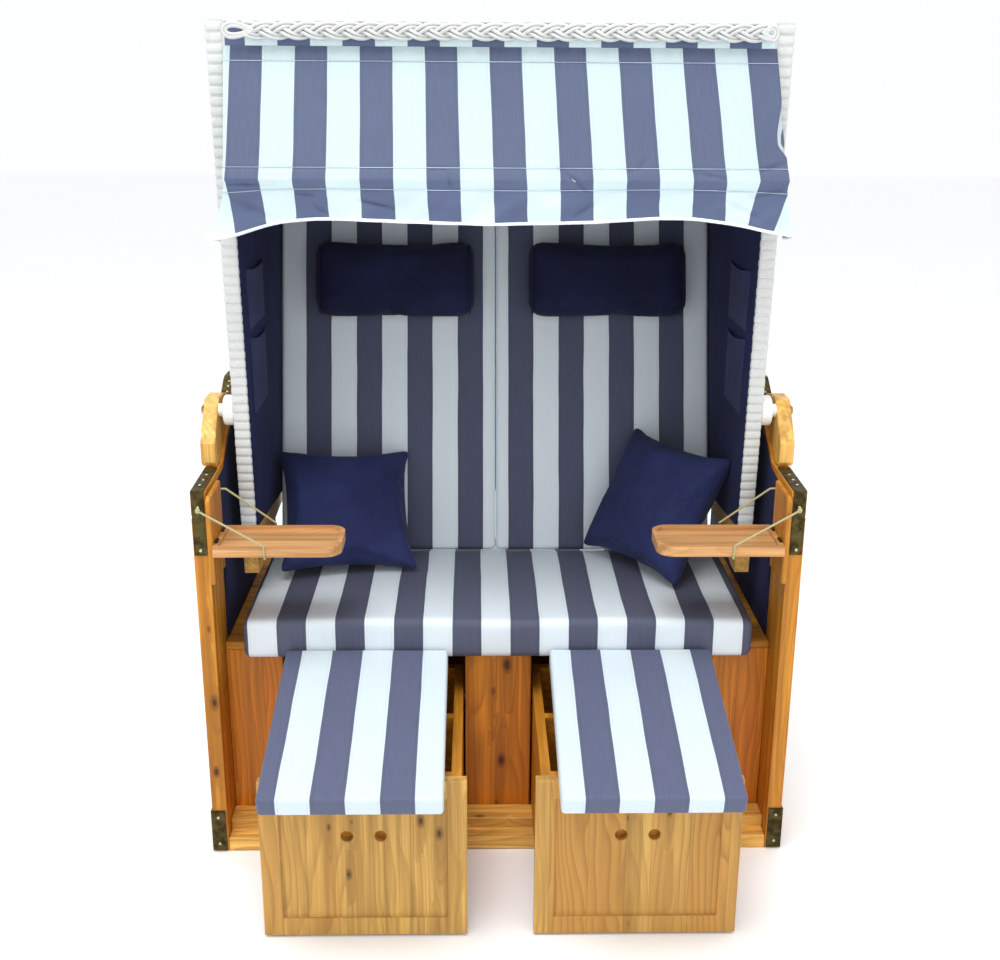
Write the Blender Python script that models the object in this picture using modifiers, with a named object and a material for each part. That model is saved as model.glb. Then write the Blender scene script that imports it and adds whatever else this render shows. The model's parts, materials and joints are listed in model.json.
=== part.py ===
"""A two-seat hooded beach chair: wooden base, tilting hood, awning, trays, footrests and cushions.

Every length is in metres. X is the chair's width, Y runs back from the front face of the side
frames, and Z is up from the floor. The chair_origin empty then moves the whole chair, so that
the middle of its footprint box lies on the world's origin.
"""
import math

import bmesh
import bpy
from mathutils import Euler, Matrix, Vector

# Clearances and small finishes
GAP = 0.0003
EDGE_ROUND = 0.002
BORE_PLAY = 0.0007
OVERRUN = 0.01

# Base side frames
BASE_WIDTH = 1.150
BASE_DEPTH = 0.740
FRAME_THICK = 0.029
FRAME_OUTER = BASE_WIDTH / 2
FRAME_INNER = FRAME_OUTER - FRAME_THICK
FRONT_STILE_WIDTH = 0.115
REAR_STILE_WIDTH = 0.070
BOTTOM_RAIL_HEIGHT = 0.070
ARM_RAIL_HEIGHT = 0.050
ARM_FRONT_HEIGHT = 0.767
ARM_RISE = 0.006
ARM_REAR_HEIGHT = ARM_FRONT_HEIGHT + ARM_RISE
ARM_DEPTH = 0.170
RIDGE_RISE = 0.127
RIDGE_HEIGHT = ARM_REAR_HEIGHT + RIDGE_RISE
RIDGE_FRONT = 0.370
RIDGE_REAR = 0.430
REAR_HEIGHT = 0.620
INFILL_THICK = 0.014
INFILL_SET_IN = 0.006
LINING_THICK = 0.004
LINING_TOP_MARGIN = 0.010

# Metal straps
STRAP_THICK = 0.0025
STRAP_WIDTH = 0.024
STRAP_FRONT_LEG = 0.125
STRAP_TOP_LEG = 0.134
FOOT_STRAP_HEIGHT = 0.090
FOOT_STRAP_SIDE_LEG = 0.045
FOOT_STRAP_LIFT = 0.003
RIDGE_STRAP_LEG = 0.060

# Seat box
SEAT_BOARD_TOP = 0.4233
SEAT_BOARD_THICK = 0.015
SEAT_BOX_FRONT = 0.0845
SEAT_BOX_REAR_MARGIN = 0.050
SEAT_BOX_REAR = BASE_DEPTH - SEAT_BOX_REAR_MARGIN
BOX_PANEL_THICK = 0.018
BOX_PANEL_LIFT = 0.003
CENTRE_PANEL_WIDTH = 0.133
END_PANEL_WIDTH = 0.114
SILL_LOW_DEPTH = 0.031
SILL_LOW_HEIGHT = 0.029
SILL_HEIGHT = 0.053

# Footrest drawers, pulled out
DRAWER_INNER = 0.0606
DRAWER_SIDE_PLAY = 0.0016
DRAWER_OUTER = FRAME_INNER - END_PANEL_WIDTH - DRAWER_SIDE_PLAY
DRAWER_FRONT = -0.273
DRAWER_FRONT_THICK = 0.020
DRAWER_LIFT = 0.004
DRAWER_TOP = 0.321
DRAWER_STILE = 0.036
DRAWER_PANEL_INSET = 0.006
FINGER_HOLE_RADIUS = 0.011
FINGER_HOLE_SPACING = 0.060
FINGER_HOLE_DROP = 0.114
RUNNER_SIDE_MARGIN = 0.010
RUNNER_THICK = 0.018
RUNNER_REAR = 0.200
RUNNER_TOP = 0.318

# Pivot of the hood
PIVOT_Y = 0.200
PIVOT_RISE = 0.100
PIVOT_Z = ARM_REAR_HEIGHT + PIVOT_RISE
BLOCK_SET_OUT = 0.0063
BLOCK_INNER = FRAME_INNER + BLOCK_SET_OUT
BLOCK_THICK = 0.0285
BLOCK_FRONT = 0.138
BLOCK_REAR = 0.290
BLOCK_SHOULDER_DROP = 0.053
BLOCK_SHOULDER = PIVOT_Z - BLOCK_SHOULDER_DROP
BLOCK_TOP_RISE = 0.023
BLOCK_TOP = PIVOT_Z + BLOCK_TOP_RISE
BLOCK_CROWN_FRONT = 0.205
BLOCK_CROWN_REAR = 0.250
BOLT_RADIUS = 0.005
BOLT_HEAD_RADIUS = 0.012
BOLT_HEAD_HEIGHT = 0.006
BOLT_DEPTH_IN_HOOD = 0.014
DISC_RADIUS = 0.030
DISC_THICK = 0.0215
DISC_NECK_RADIUS = 0.013

# Trays
TRAY_DROP = 0.102
TRAY_TOP = ARM_FRONT_HEIGHT - TRAY_DROP
TRAY_MOUNT_THICK = 0.010
TRAY_MOUNT_FRONT = -0.010
TRAY_MOUNT_REAR = 0.090
TRAY_MOUNT_DROP = 0.080
TRAY_MOUNT_LOW = TRAY_TOP - TRAY_MOUNT_DROP
TRAY_MOUNT_MARGIN = 0.008
TRAY_LENGTH = 0.2485
TRAY_END = FRAME_INNER - TRAY_LENGTH
TRAY_FRONT = -0.020
TRAY_REAR = 0.105
TRAY_THICK = 0.020
TRAY_RIM = 0.009
TRAY_RECESS = 0.007
TRAY_CORNER = 0.032
CORD_RADIUS = 0.0022
CORD_FRAME_IN = 0.014
CORD_FRONT_DROP = 0.032
CORD_REAR_DROP = 0.022
CORD_REAR_IN = 0.002
CORD_REAR_REACH = 0.020
CORD_TRAY_REACH = 0.1425
CORD_TRAY_LIFT = 0.003
CORD_SLANT = 0.001
CORD_TURN = 0.006
CORD_TURN_DROP = 0.004

# Hood
HOOD_SIDE_PLAY = 0.0272
HOOD_OUTER = FRAME_INNER - HOOD_SIDE_PLAY
HOOD_SIDE_THICK = 0.029
HOOD_RISE = 0.723
HOOD_TOP = PIVOT_Z + HOOD_RISE
HOOD_FRONT_TOP_Y = 0.125
HOOD_FRONT_LOW_Y = 0.185
HOOD_CORNER_RADIUS = 0.100
HOOD_BACK_LOW_Z = 0.600
HOOD_SHELL_THICK = 0.025
HOOD_SHELL_INSET = 0.002
FASCIA_DEPTH = 0.025
FASCIA_HEIGHT = 0.054
SEAT_CUSHION_RISE = 0.0667
SEAT_CUSHION_TOP = SEAT_BOARD_TOP + SEAT_CUSHION_RISE
FOOT_RAIL_LIFT = 0.040
FOOT_RAIL_LOW = SEAT_CUSHION_TOP + FOOT_RAIL_LIFT
FOOT_POST_HEIGHT = 0.102
HOOD_FRONT_LOW_Z = FOOT_RAIL_LOW + FOOT_POST_HEIGHT
FOOT_RAIL_POST = 0.050
FOOT_RAIL_REAR_HEIGHT = 0.026
BACK_BOARD_THICK = 0.012

# Backrest, which leans back
BACK_LEAN = math.atan(0.3137)
SEAT_CUSHION_REAR = 0.440
BACK_SEAT_PLAY = 0.007
BACK_START_Y = SEAT_CUSHION_REAR + BACK_SEAT_PLAY
BACK_SEAT_LIFT = 0.010
BACK_START_Z = SEAT_CUSHION_TOP + BACK_SEAT_LIFT
BACK_TOP_DROP = 0.141
BACK_TOP_Z = HOOD_TOP - BACK_TOP_DROP
BACK_BOARD_TOP = BACK_TOP_Z
BACK_CUSHION_THICK = 0.050
BACK_CUSHION_PLAY = 0.0013
HOOD_INNER = HOOD_OUTER - HOOD_SIDE_THICK
LINING_INNER = HOOD_INNER - GAP - LINING_THICK
BACK_CUSHION_WIDTH = LINING_INNER - BACK_CUSHION_PLAY
BACK_CROWN_SHARE = 0.16

# Braid and awning
BRAID_RADIUS = 0.0145
BOW_RADIUS = 0.004
BOW_PIVOT_Y = 0.165
BOW_PIVOT_DROP = 0.266
BOW_PIVOT_Z = HOOD_TOP - BOW_PIVOT_DROP
BOW_FRONT = 0.030
BOW_CORNER = 0.020
BOW_SIDE_PLAY = 0.0025
AWNING_THICK = 0.003
AWNING_TOP_SET_IN = 0.0298
AWNING_TOP_HALF = HOOD_OUTER - AWNING_TOP_SET_IN
AWNING_BAR_SET_OUT = 0.0085
AWNING_BAR_HALF = AWNING_TOP_HALF + AWNING_BAR_SET_OUT
AWNING_HEM_FLARE = 0.019
AWNING_FLAP = 0.070
AWNING_HEM_SET_BACK = 0.012
AWNING_HEM_DROP = 0.0685
AWNING_HEM_MIDDLE = BOW_PIVOT_Z - AWNING_HEM_DROP
AWNING_CORNER_DROP = 0.0355
AWNING_HEM_CORNER = AWNING_HEM_MIDDLE - AWNING_CORNER_DROP
AWNING_TOP_CLEAR = 0.0128
AWNING_BAR_CLEAR = 0.0051
AWNING_COLUMNS = 30
AWNING_FLAP_COLUMNS = 2
AWNING_FOLD = 0.005

# Cushions
SEAT_CUSHION_SIDE_PLAY = 0.043
SEAT_CUSHION_HALF = FRAME_INNER - SEAT_CUSHION_SIDE_PLAY
SEAT_CUSHION_OVERHANG = 0.0395
SEAT_CUSHION_FRONT = SEAT_BOX_FRONT - SEAT_CUSHION_OVERHANG
SEAT_CUSHION_DROP = 0.0183
SEAT_CUSHION_SKIRT = SEAT_BOARD_TOP - SEAT_CUSHION_DROP
PAD_SET_IN = 0.0389
PAD_INNER = DRAWER_INNER + PAD_SET_IN
PAD_SIDE_PLAY = 0.0129
PAD_OUTER = DRAWER_OUTER - PAD_SIDE_PLAY
PAD_REAR_DROP = 0.055
PAD_REAR_TOP_Z = SEAT_CUSHION_TOP - PAD_REAR_DROP
PAD_FRONT_Y = -0.360
PAD_SLOPE = math.radians(12.9)
HEAD_WIDTH = 0.368
HEAD_HEIGHT = 0.174
HEAD_THICK = 0.085
HEAD_LEFT_SHIFT = 0.0186
HEAD_LEFT_X = -BACK_CUSHION_WIDTH / 2 + HEAD_LEFT_SHIFT
HEAD_RIGHT_SHIFT = 0.0059
HEAD_RIGHT_X = BACK_CUSHION_WIDTH / 2 + HEAD_RIGHT_SHIFT
HEAD_RISE = 0.562
HEAD_CENTRE_Z = BACK_START_Z + HEAD_RISE
PILLOW_SIZE = 0.295
PILLOW_THICK = 0.115
PILLOW_LEFT_TURN = (45.0, 13.0, -4.0)
PILLOW_RIGHT_TURN = (30.0, -52.0, -2.0)

SIDES = (("left", -1), ("right", 1))


def clear_scene():
    for obj in list(bpy.data.objects):
        bpy.data.objects.remove(obj, do_unlink=True)


def make_material(name, colour, roughness, metallic=0.0):
    made = bpy.data.materials.new(name)
    made.use_nodes = True
    shader = made.node_tree.nodes["Principled BSDF"]
    shader.inputs["Base Color"].default_value = (*colour, 1.0)
    shader.inputs["Roughness"].default_value = roughness
    shader.inputs["Metallic"].default_value = metallic
    return made


def make_collection(name):
    made = bpy.data.collections.new(name)
    bpy.context.scene.collection.children.link(made)
    return made


def make_empty(name, place, parent=None):
    """An empty at a place given in the chair's own lengths."""
    empty = bpy.data.objects.new(name, None)
    CHAIR.objects.link(empty)
    empty.location = place
    if parent:
        empty.parent = parent
    return empty


def carry(obj, empty):
    """Parent a piece, modelled in the chair's own lengths, to the empty on its joint's axis."""
    obj.parent = empty
    if empty is not ORIGIN:
        obj.matrix_parent_inverse = Matrix.Translation(-empty.location)
    return obj


def finish(obj, material, empty):
    obj.data.materials.append(material)
    return carry(obj, empty)


def smooth(obj, angle=math.radians(35)):
    obj.data.shade_smooth()
    obj.data.set_sharp_from_angle(angle=angle)


def mesh_object(name, shape, collection=None):
    mesh = bpy.data.meshes.new(name)
    shape.to_mesh(mesh)
    shape.free()
    obj = bpy.data.objects.new(name, mesh)
    (collection or CHAIR).objects.link(obj)
    return obj


def round_edges(obj, width=EDGE_ROUND):
    bevel = obj.modifiers.new("edges", "BEVEL")
    bevel.width = width
    bevel.segments = 1
    bevel.limit_method = "ANGLE"
    bevel.angle_limit = math.radians(50)
    return obj


def box(name, low, high, material, empty, rounded=True):
    """A board between two corners."""
    shape = bmesh.new()
    bmesh.ops.create_cube(shape, size=1.0)
    size = Vector(high) - Vector(low)
    bmesh.ops.scale(shape, vec=size, verts=shape.verts)
    bmesh.ops.translate(shape, vec=(Vector(high) + Vector(low)) / 2, verts=shape.verts)
    obj = mesh_object(name, shape)
    if rounded:
        round_edges(obj)
    return finish(obj, material, empty)


def outline_curve(name, outlines, low, high, axis):
    """A flat outline, with any holes, given thickness from low to high along an axis."""
    curve = bpy.data.curves.new(name, "CURVE")
    curve.dimensions = "2D"
    curve.fill_mode = "BOTH"
    curve.extrude = (high - low) / 2
    for outline in outlines:
        spline = curve.splines.new("POLY")
        spline.points.add(len(outline) - 1)
        for point, (across, up) in zip(spline.points, outline):
            point.co = (across, up, 0.0, 1.0)
        spline.use_cyclic_u = True
    obj = bpy.data.objects.new(name, curve)
    CHAIR.objects.link(obj)
    middle = (low + high) / 2
    quarter = math.pi / 2
    if axis == "X":
        obj.location = (middle, 0, 0)
        obj.rotation_euler = (quarter, 0, quarter)
    elif axis == "Y":
        obj.location = (0, middle, 0)
        obj.rotation_euler = (quarter, 0, 0)
    else:
        obj.location = (0, 0, middle)
    return obj


def plate(name, outlines, low, high, axis, material, empty, rounded=True):
    obj = outline_curve(name, outlines, low, high, axis)
    if rounded:
        weld = obj.modifiers.new("weld", "WELD")
        weld.merge_threshold = 0.00001
        round_edges(obj)
    return finish(obj, material, empty)


def solid_plate(name, outlines, low, high, axis):
    """An outline plate as a mesh with welded caps, ready to be cut."""
    source = outline_curve(name, outlines, low, high, axis)
    bpy.context.view_layer.update()
    graph = bpy.context.evaluated_depsgraph_get()
    mesh = bpy.data.meshes.new_from_object(source.evaluated_get(graph))
    shape = bmesh.new()
    shape.from_mesh(mesh)
    bmesh.ops.remove_doubles(shape, verts=shape.verts, dist=0.00001)
    shape.to_mesh(mesh)
    shape.free()
    obj = bpy.data.objects.new(name + "_solid", mesh)
    CHAIR.objects.link(obj)
    obj.matrix_world = source.matrix_world
    bpy.data.objects.remove(source, do_unlink=True)
    obj.name = name
    return obj


def cut(obj, cutter):
    boolean = obj.modifiers.new("cut", "BOOLEAN")
    boolean.operation = "DIFFERENCE"
    boolean.object = cutter
    cutter.hide_render = True
    cutter.display_type = "WIRE"
    for owner in list(cutter.users_collection):
        owner.objects.unlink(cutter)
    CUTTERS.objects.link(cutter)
    return obj


def bore_cutter(name, radius, low, high):
    """A cylinder along X at the hood's pivot."""
    shape = bmesh.new()
    bmesh.ops.create_cone(shape, cap_ends=True, segments=16, radius1=radius, radius2=radius,
                          depth=high - low)
    cutter = mesh_object(name, shape, CUTTERS)
    cutter.location = ((low + high) / 2, PIVOT_Y, PIVOT_Z)
    cutter.rotation_euler = (0, math.pi / 2, 0)
    return carry(cutter, ORIGIN)


def span(sign, inner, outer):
    """The low and high X of something between two distances from the middle of the chair."""
    return (inner, outer) if sign > 0 else (-outer, -inner)


def turned(name, profile, closed, steps, place, sign, material, empty):
    """A profile of (distance along, radius) turned about the X axis at a place."""
    shape = bmesh.new()
    verts = [shape.verts.new((radius, 0, along)) for along, radius in profile]
    for first, second in zip(verts, verts[1:]):
        shape.edges.new((first, second))
    if closed:
        shape.edges.new((verts[-1], verts[0]))
    obj = mesh_object(name, shape)
    screw = obj.modifiers.new("turn", "SCREW")
    screw.axis = "Z"
    screw.steps = steps
    screw.render_steps = steps
    screw.use_merge_vertices = True
    screw.merge_threshold = 0.00001
    obj.location = place
    obj.rotation_euler = (0, sign * math.pi / 2, 0)
    return finish(obj, material, empty)


def wire(name, points, radius, material, empty):
    curve = bpy.data.curves.new(name, "CURVE")
    curve.dimensions = "3D"
    curve.bevel_depth = radius
    curve.bevel_resolution = 2
    curve.use_fill_caps = True
    spline = curve.splines.new("POLY")
    spline.points.add(len(points) - 1)
    for target, point in zip(spline.points, points):
        target.co = (*point, 1.0)
    obj = bpy.data.objects.new(name, curve)
    CHAIR.objects.link(obj)
    return finish(obj, material, empty)


def arm_top(y):
    """Height of the arm rail's top line."""
    corners = ((0.0, ARM_FRONT_HEIGHT), (ARM_DEPTH, ARM_REAR_HEIGHT), (RIDGE_FRONT, RIDGE_HEIGHT),
               (RIDGE_REAR, RIDGE_HEIGHT), (BASE_DEPTH, REAR_HEIGHT))
    for (y0, z0), (y1, z1) in zip(corners, corners[1:]):
        if y <= y1:
            return z0 + (z1 - z0) * (y - y0) / (y1 - y0)
    return REAR_HEIGHT


def arm_line(start, end, drop):
    """Points along the arm rail's top line, lowered by drop, from one depth to another."""
    bends = [y for y in (ARM_DEPTH, RIDGE_FRONT, RIDGE_REAR) if start < y < end]
    return [(y, arm_top(y) - drop) for y in [start, *bends, end]]


def side_frame(side, sign):
    """The wooden frame of one side, its woven infill and its fabric lining."""
    x = span(sign, FRAME_INNER, FRAME_OUTER)
    under = ARM_RAIL_HEIGHT + GAP
    rear_start = BASE_DEPTH - REAR_STILE_WIDTH
    plate(side + "_front_stile",
          [[(0, 0), (FRONT_STILE_WIDTH, 0)] + arm_line(0, FRONT_STILE_WIDTH, under)[::-1]],
          *x, "X", WOOD, ORIGIN)
    plate(side + "_rear_stile",
          [[(rear_start, 0), (BASE_DEPTH, 0)] + arm_line(rear_start, BASE_DEPTH, under)[::-1]],
          *x, "X", WOOD, ORIGIN)
    inner = (FRONT_STILE_WIDTH + GAP, rear_start - GAP)
    box(side + "_bottom_rail", (x[0], inner[0], 0), (x[1], inner[1], BOTTOM_RAIL_HEIGHT),
        WOOD, ORIGIN)
    plate(side + "_arm_rail",
          [arm_line(0, BASE_DEPTH, ARM_RAIL_HEIGHT) + arm_line(0, BASE_DEPTH, 0)[::-1]],
          *x, "X", WOOD, ORIGIN)
    infill = span(sign, FRAME_INNER + INFILL_SET_IN, FRAME_INNER + INFILL_SET_IN + INFILL_THICK)
    low = BOTTOM_RAIL_HEIGHT + GAP
    plate(side + "_side_infill",
          [[(inner[0], low), (inner[1], low)] + arm_line(*inner, under)[::-1]],
          *infill, "X", WICKER, ORIGIN, rounded=False)
    lining = span(sign, FRAME_INNER - GAP - LINING_THICK, FRAME_INNER - GAP)
    low = SEAT_BOARD_TOP + GAP
    plate(side + "_side_lining",
          [[(inner[0], low), (BASE_DEPTH - EDGE_ROUND, low)]
           + arm_line(inner[0], BASE_DEPTH - EDGE_ROUND, LINING_TOP_MARGIN)[::-1]],
          *lining, "X", NAVY, ORIGIN, rounded=False)


def side_straps(side, sign):
    """Three bent metal straps on one side frame."""
    outer = FRAME_OUTER - EDGE_ROUND
    x = span(sign, outer - STRAP_WIDTH, outer)
    face = -GAP
    far = face - STRAP_THICK
    top = arm_line(0, STRAP_TOP_LEG, 0)
    inside = [(face, ARM_FRONT_HEIGHT - STRAP_FRONT_LEG), (face, ARM_FRONT_HEIGHT + GAP)]
    inside += [(y, z + GAP) for y, z in top[1:]]
    outside = [(y, z + GAP + STRAP_THICK) for y, z in top[1:]][::-1]
    outside += [(far, ARM_FRONT_HEIGHT + GAP + STRAP_THICK), (far, inside[0][1])]
    plate(side + "_arm_strap", [inside + outside], *x, "X", BRONZE, ORIGIN, rounded=False)
    ridge = [(RIDGE_FRONT - RIDGE_STRAP_LEG, arm_top(RIDGE_FRONT - RIDGE_STRAP_LEG)),
             (RIDGE_FRONT, RIDGE_HEIGHT), (RIDGE_REAR - OVERRUN, RIDGE_HEIGHT)]
    inside = [(y, z + GAP) for y, z in ridge]
    outside = [(y, z + GAP + STRAP_THICK) for y, z in ridge][::-1]
    plate(side + "_ridge_strap", [inside + outside], *x, "X", BRONZE, ORIGIN, rounded=False)
    wall = FRAME_OUTER + GAP
    edge = wall + STRAP_THICK
    plan = [(outer - STRAP_WIDTH, far), (edge, far), (edge, FOOT_STRAP_SIDE_LEG),
            (wall, FOOT_STRAP_SIDE_LEG), (wall, face), (outer - STRAP_WIDTH, face)]
    plan = [(sign * across, y) for across, y in plan]
    plate(side + "_foot_strap", [plan], FOOT_STRAP_LIFT, FOOT_STRAP_LIFT + FOOT_STRAP_HEIGHT,
          "Z", BRONZE, ORIGIN, rounded=False)


def seat_box():
    """The box that carries the seat, between the two side frames."""
    wide = FRAME_INNER - GAP
    sill = [(0, 0), (0, SILL_LOW_HEIGHT), (SILL_LOW_DEPTH, SILL_LOW_HEIGHT),
            (SILL_LOW_DEPTH, SILL_HEIGHT), (SEAT_BOX_FRONT - GAP, SILL_HEIGHT),
            (SEAT_BOX_FRONT - GAP, 0)]
    plate("base_sill", [sill], -wide, wide, "X", WOOD, ORIGIN)
    panel_top = SEAT_BOARD_TOP - SEAT_BOARD_THICK - GAP
    rear = SEAT_BOX_FRONT + BOX_PANEL_THICK
    half = CENTRE_PANEL_WIDTH / 2
    box("base_centre_panel", (-half, SEAT_BOX_FRONT, BOX_PANEL_LIFT), (half, rear, panel_top),
        WOOD, ORIGIN)
    for side, sign in SIDES:
        x = span(sign, wide - END_PANEL_WIDTH, wide)
        box(side + "_end_panel", (x[0], SEAT_BOX_FRONT, BOX_PANEL_LIFT), (x[1], rear, panel_top),
            WOOD, ORIGIN)
    box("base_rear_panel", (-wide, SEAT_BOX_REAR - BOX_PANEL_THICK, BOX_PANEL_LIFT),
        (wide, SEAT_BOX_REAR, panel_top), WOOD, ORIGIN)
    box("seat_board", (-wide, SEAT_BOX_FRONT, SEAT_BOARD_TOP - SEAT_BOARD_THICK),
        (wide, SEAT_BOX_REAR, SEAT_BOARD_TOP), WOOD, ORIGIN)


def rounded_rectangle(low, high, radius, rounded_ends):
    """Corner points of a rectangle. Its ends named in rounded_ends (-1 low X, 1 high X) are round."""
    points = []
    corners = ((high[0], high[1], 1, 1), (low[0], high[1], -1, 1),
               (low[0], low[1], -1, -1), (high[0], low[1], 1, -1))
    starts = (0, 90, 180, 270)
    for (x, y, across, up), start in zip(corners, starts):
        if across not in rounded_ends:
            points.append((x, y))
            continue
        centre = (x - across * radius, y - up * radius)
        for step in range(6):
            angle = math.radians(start + 18 * step)
            points.append((centre[0] + radius * math.cos(angle),
                           centre[1] + radius * math.sin(angle)))
    return points


def tray(side, sign, empty):
    """A fold-down tray with a raised rim, its mounting board and its cord."""
    mount_inner = FRAME_INNER - GAP - TRAY_MOUNT_THICK
    x = span(sign, mount_inner, FRAME_INNER - GAP)
    drop = TRAY_MOUNT_MARGIN
    board = [(TRAY_MOUNT_FRONT, TRAY_MOUNT_LOW), (TRAY_MOUNT_REAR, TRAY_MOUNT_LOW)]
    board += [(TRAY_MOUNT_REAR, arm_top(TRAY_MOUNT_REAR) - drop), (0, arm_top(0) - drop),
              (TRAY_MOUNT_FRONT, arm_top(0) - 2 * drop)]
    plate(side + "_tray_mount", [board], *x, "X", WOOD, ORIGIN)
    x = span(sign, TRAY_END, mount_inner - GAP)
    low, high = (x[0], TRAY_FRONT), (x[1], TRAY_REAR)
    leaf = solid_plate(side + "_tray", [rounded_rectangle(low, high, TRAY_CORNER, (-sign,))],
                       TRAY_TOP - TRAY_THICK, TRAY_TOP, "Z")
    low, high = (x[0] + TRAY_RIM, TRAY_FRONT + TRAY_RIM), (x[1] - TRAY_RIM, TRAY_REAR - TRAY_RIM)
    recess = solid_plate(side + "_tray_recess",
                         [rounded_rectangle(low, high, TRAY_CORNER - TRAY_RIM, (-sign,))],
                         TRAY_TOP - TRAY_RECESS, TRAY_TOP + OVERRUN, "Z")
    cut(leaf, recess)
    carry(recess, empty)
    finish(leaf, TRAY_WOOD, empty)
    tray_cord(side, sign, mount_inner)


def tray_cord(side, sign, mount_inner):
    """One cord from the front of the frame, down and under the tray, and up to its mount."""
    clear = CORD_RADIUS + GAP
    front = TRAY_FRONT - clear
    rear = TRAY_REAR + clear
    under = TRAY_TOP - TRAY_THICK - clear
    out = TRAY_MOUNT_FRONT - clear - CORD_RADIUS
    start = FRAME_INNER + CORD_FRAME_IN
    top = ARM_FRONT_HEIGHT - CORD_FRONT_DROP
    turn = start - CORD_SLANT
    tray = TRAY_END + CORD_TRAY_REACH
    lift = TRAY_TOP + CORD_TRAY_LIFT
    end_y = TRAY_MOUNT_REAR - CORD_REAR_IN
    end_z = ARM_FRONT_HEIGHT - CORD_REAR_DROP
    points = ((start, -STRAP_THICK - 2 * GAP, top), (turn, out, top),
              (turn - CORD_TURN, out, top - CORD_TURN_DROP),
              (tray, front, lift), (tray - CORD_SLANT, front, under),
              (tray - 3 * CORD_SLANT, front - out, under), (tray - 4 * CORD_SLANT, rear, under),
              (tray - 5 * CORD_SLANT, rear, lift), (FRAME_INNER - CORD_REAR_REACH, end_y, end_z),
              (mount_inner - GAP, end_y, end_z))
    wire(side + "_tray_cord", [(sign * x, y, z) for x, y, z in points], CORD_RADIUS, CORD, ORIGIN)


def footrest(side, sign, empty):
    """A pull-out footrest: a framed front, a runner frame and a pad."""
    x = span(sign, DRAWER_INNER, DRAWER_OUTER)
    rear = DRAWER_FRONT + DRAWER_FRONT_THICK
    front = solid_plate(side + "_footrest_front",
                        [[(x[0], DRAWER_LIFT), (x[1], DRAWER_LIFT),
                          (x[1], DRAWER_TOP), (x[0], DRAWER_TOP)]],
                        DRAWER_FRONT, rear, "Y")
    low, high = (x[0] + DRAWER_STILE, DRAWER_LIFT + DRAWER_STILE), (x[1] - DRAWER_STILE,
                                                                  DRAWER_TOP - DRAWER_STILE)
    recess = solid_plate(side + "_footrest_recess",
                         [[low, (high[0], low[1]), high, (low[0], high[1])]],
                         DRAWER_FRONT - OVERRUN, DRAWER_FRONT + DRAWER_PANEL_INSET, "Y")
    cut(front, recess)
    carry(recess, empty)
    for number, shift in enumerate((-FINGER_HOLE_SPACING / 2, FINGER_HOLE_SPACING / 2)):
        middle = ((x[0] + x[1]) / 2 + shift, DRAWER_TOP - FINGER_HOLE_DROP)
        ring = [(middle[0] + FINGER_HOLE_RADIUS * math.cos(math.tau * step / 16),
                 middle[1] + FINGER_HOLE_RADIUS * math.sin(math.tau * step / 16))
                for step in range(16)]
        hole = solid_plate(side + f"_finger_hole_{number}", [ring], DRAWER_FRONT - OVERRUN,
                           rear + OVERRUN, "Y")
        cut(front, hole)
        carry(hole, empty)
    round_edges(front)
    finish(front, WOOD_LIGHT, empty)
    x = span(sign, DRAWER_INNER + RUNNER_SIDE_MARGIN, DRAWER_OUTER - RUNNER_SIDE_MARGIN)
    start = rear + GAP
    length = RUNNER_REAR - start
    slat = start + length / 2
    rows = ((start + RUNNER_THICK, slat - RUNNER_THICK / 2),
            (slat + RUNNER_THICK / 2, RUNNER_REAR - RUNNER_THICK))
    outlines = [[(x[0], start), (x[1], start), (x[1], RUNNER_REAR), (x[0], RUNNER_REAR)]]
    for near, far in rows:
        a, b = x[0] + RUNNER_THICK, x[1] - RUNNER_THICK
        outlines.append([(a, near), (b, near), (b, far), (a, far)])
    plate(side + "_footrest_frame", outlines, SILL_HEIGHT + GAP, RUNNER_TOP, "Z", WOOD_LIGHT,
          empty, rounded=False)
    footrest_pad(side, sign, empty)


def grid_box(columns, rows, layers):
    """A closed box from -1 to 1 on each axis, cut into a grid."""
    shape = bmesh.new()
    bmesh.ops.create_cube(shape, size=2.0)
    for axis, count in enumerate((columns, rows, layers)):
        along = [edge for edge in shape.edges
                 if abs(edge.verts[0].co[axis] - edge.verts[1].co[axis]) > 1.0]
        bmesh.ops.subdivide_edges(shape, edges=along, cuts=count - 1, use_grid_fill=True)
    return shape


def cushion_shape(width, height, thick, edge_share, pull_share, flat_back, grid=(8, 8, 2)):
    """A crowned cushion: width on X, height on Y, and thickness on Z, from Z = 0 if flat backed."""
    shape = grid_box(*grid)
    for vert in shape.verts:
        a, b, c = vert.co
        crown = ((1 - a ** 4) * (1 - b ** 4)) ** 0.6
        tall = thick * (edge_share + (1 - edge_share) * crown)
        swell = 1 - pull_share
        x = a * width / 2 * (swell + pull_share * b * b if abs(a) > abs(b) - 0.01 else 1)
        y = b * height / 2 * (swell + pull_share * a * a if abs(b) > abs(a) - 0.01 else 1)
        z = tall * (c + 1) / 2 if flat_back else tall * c / 2
        vert.co = (x, y, z)
    return shape


def back_y(z):
    """The depth of the backrest's front face at a height."""
    return BACK_START_Y + (z - BACK_START_Z) * math.tan(BACK_LEAN)


def leaning():
    """The turn that stands a cushion up against the backrest, with its front to the sitter."""
    return Euler((math.pi / 2 - BACK_LEAN, 0, 0)).to_matrix()


def placed_cushion(name, shape, turn, place, material, empty):
    obj = mesh_object(name, shape)
    obj.location = place
    obj.rotation_euler = turn.to_euler()
    smooth(obj, math.radians(60))
    return finish(obj, material, empty)


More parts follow.
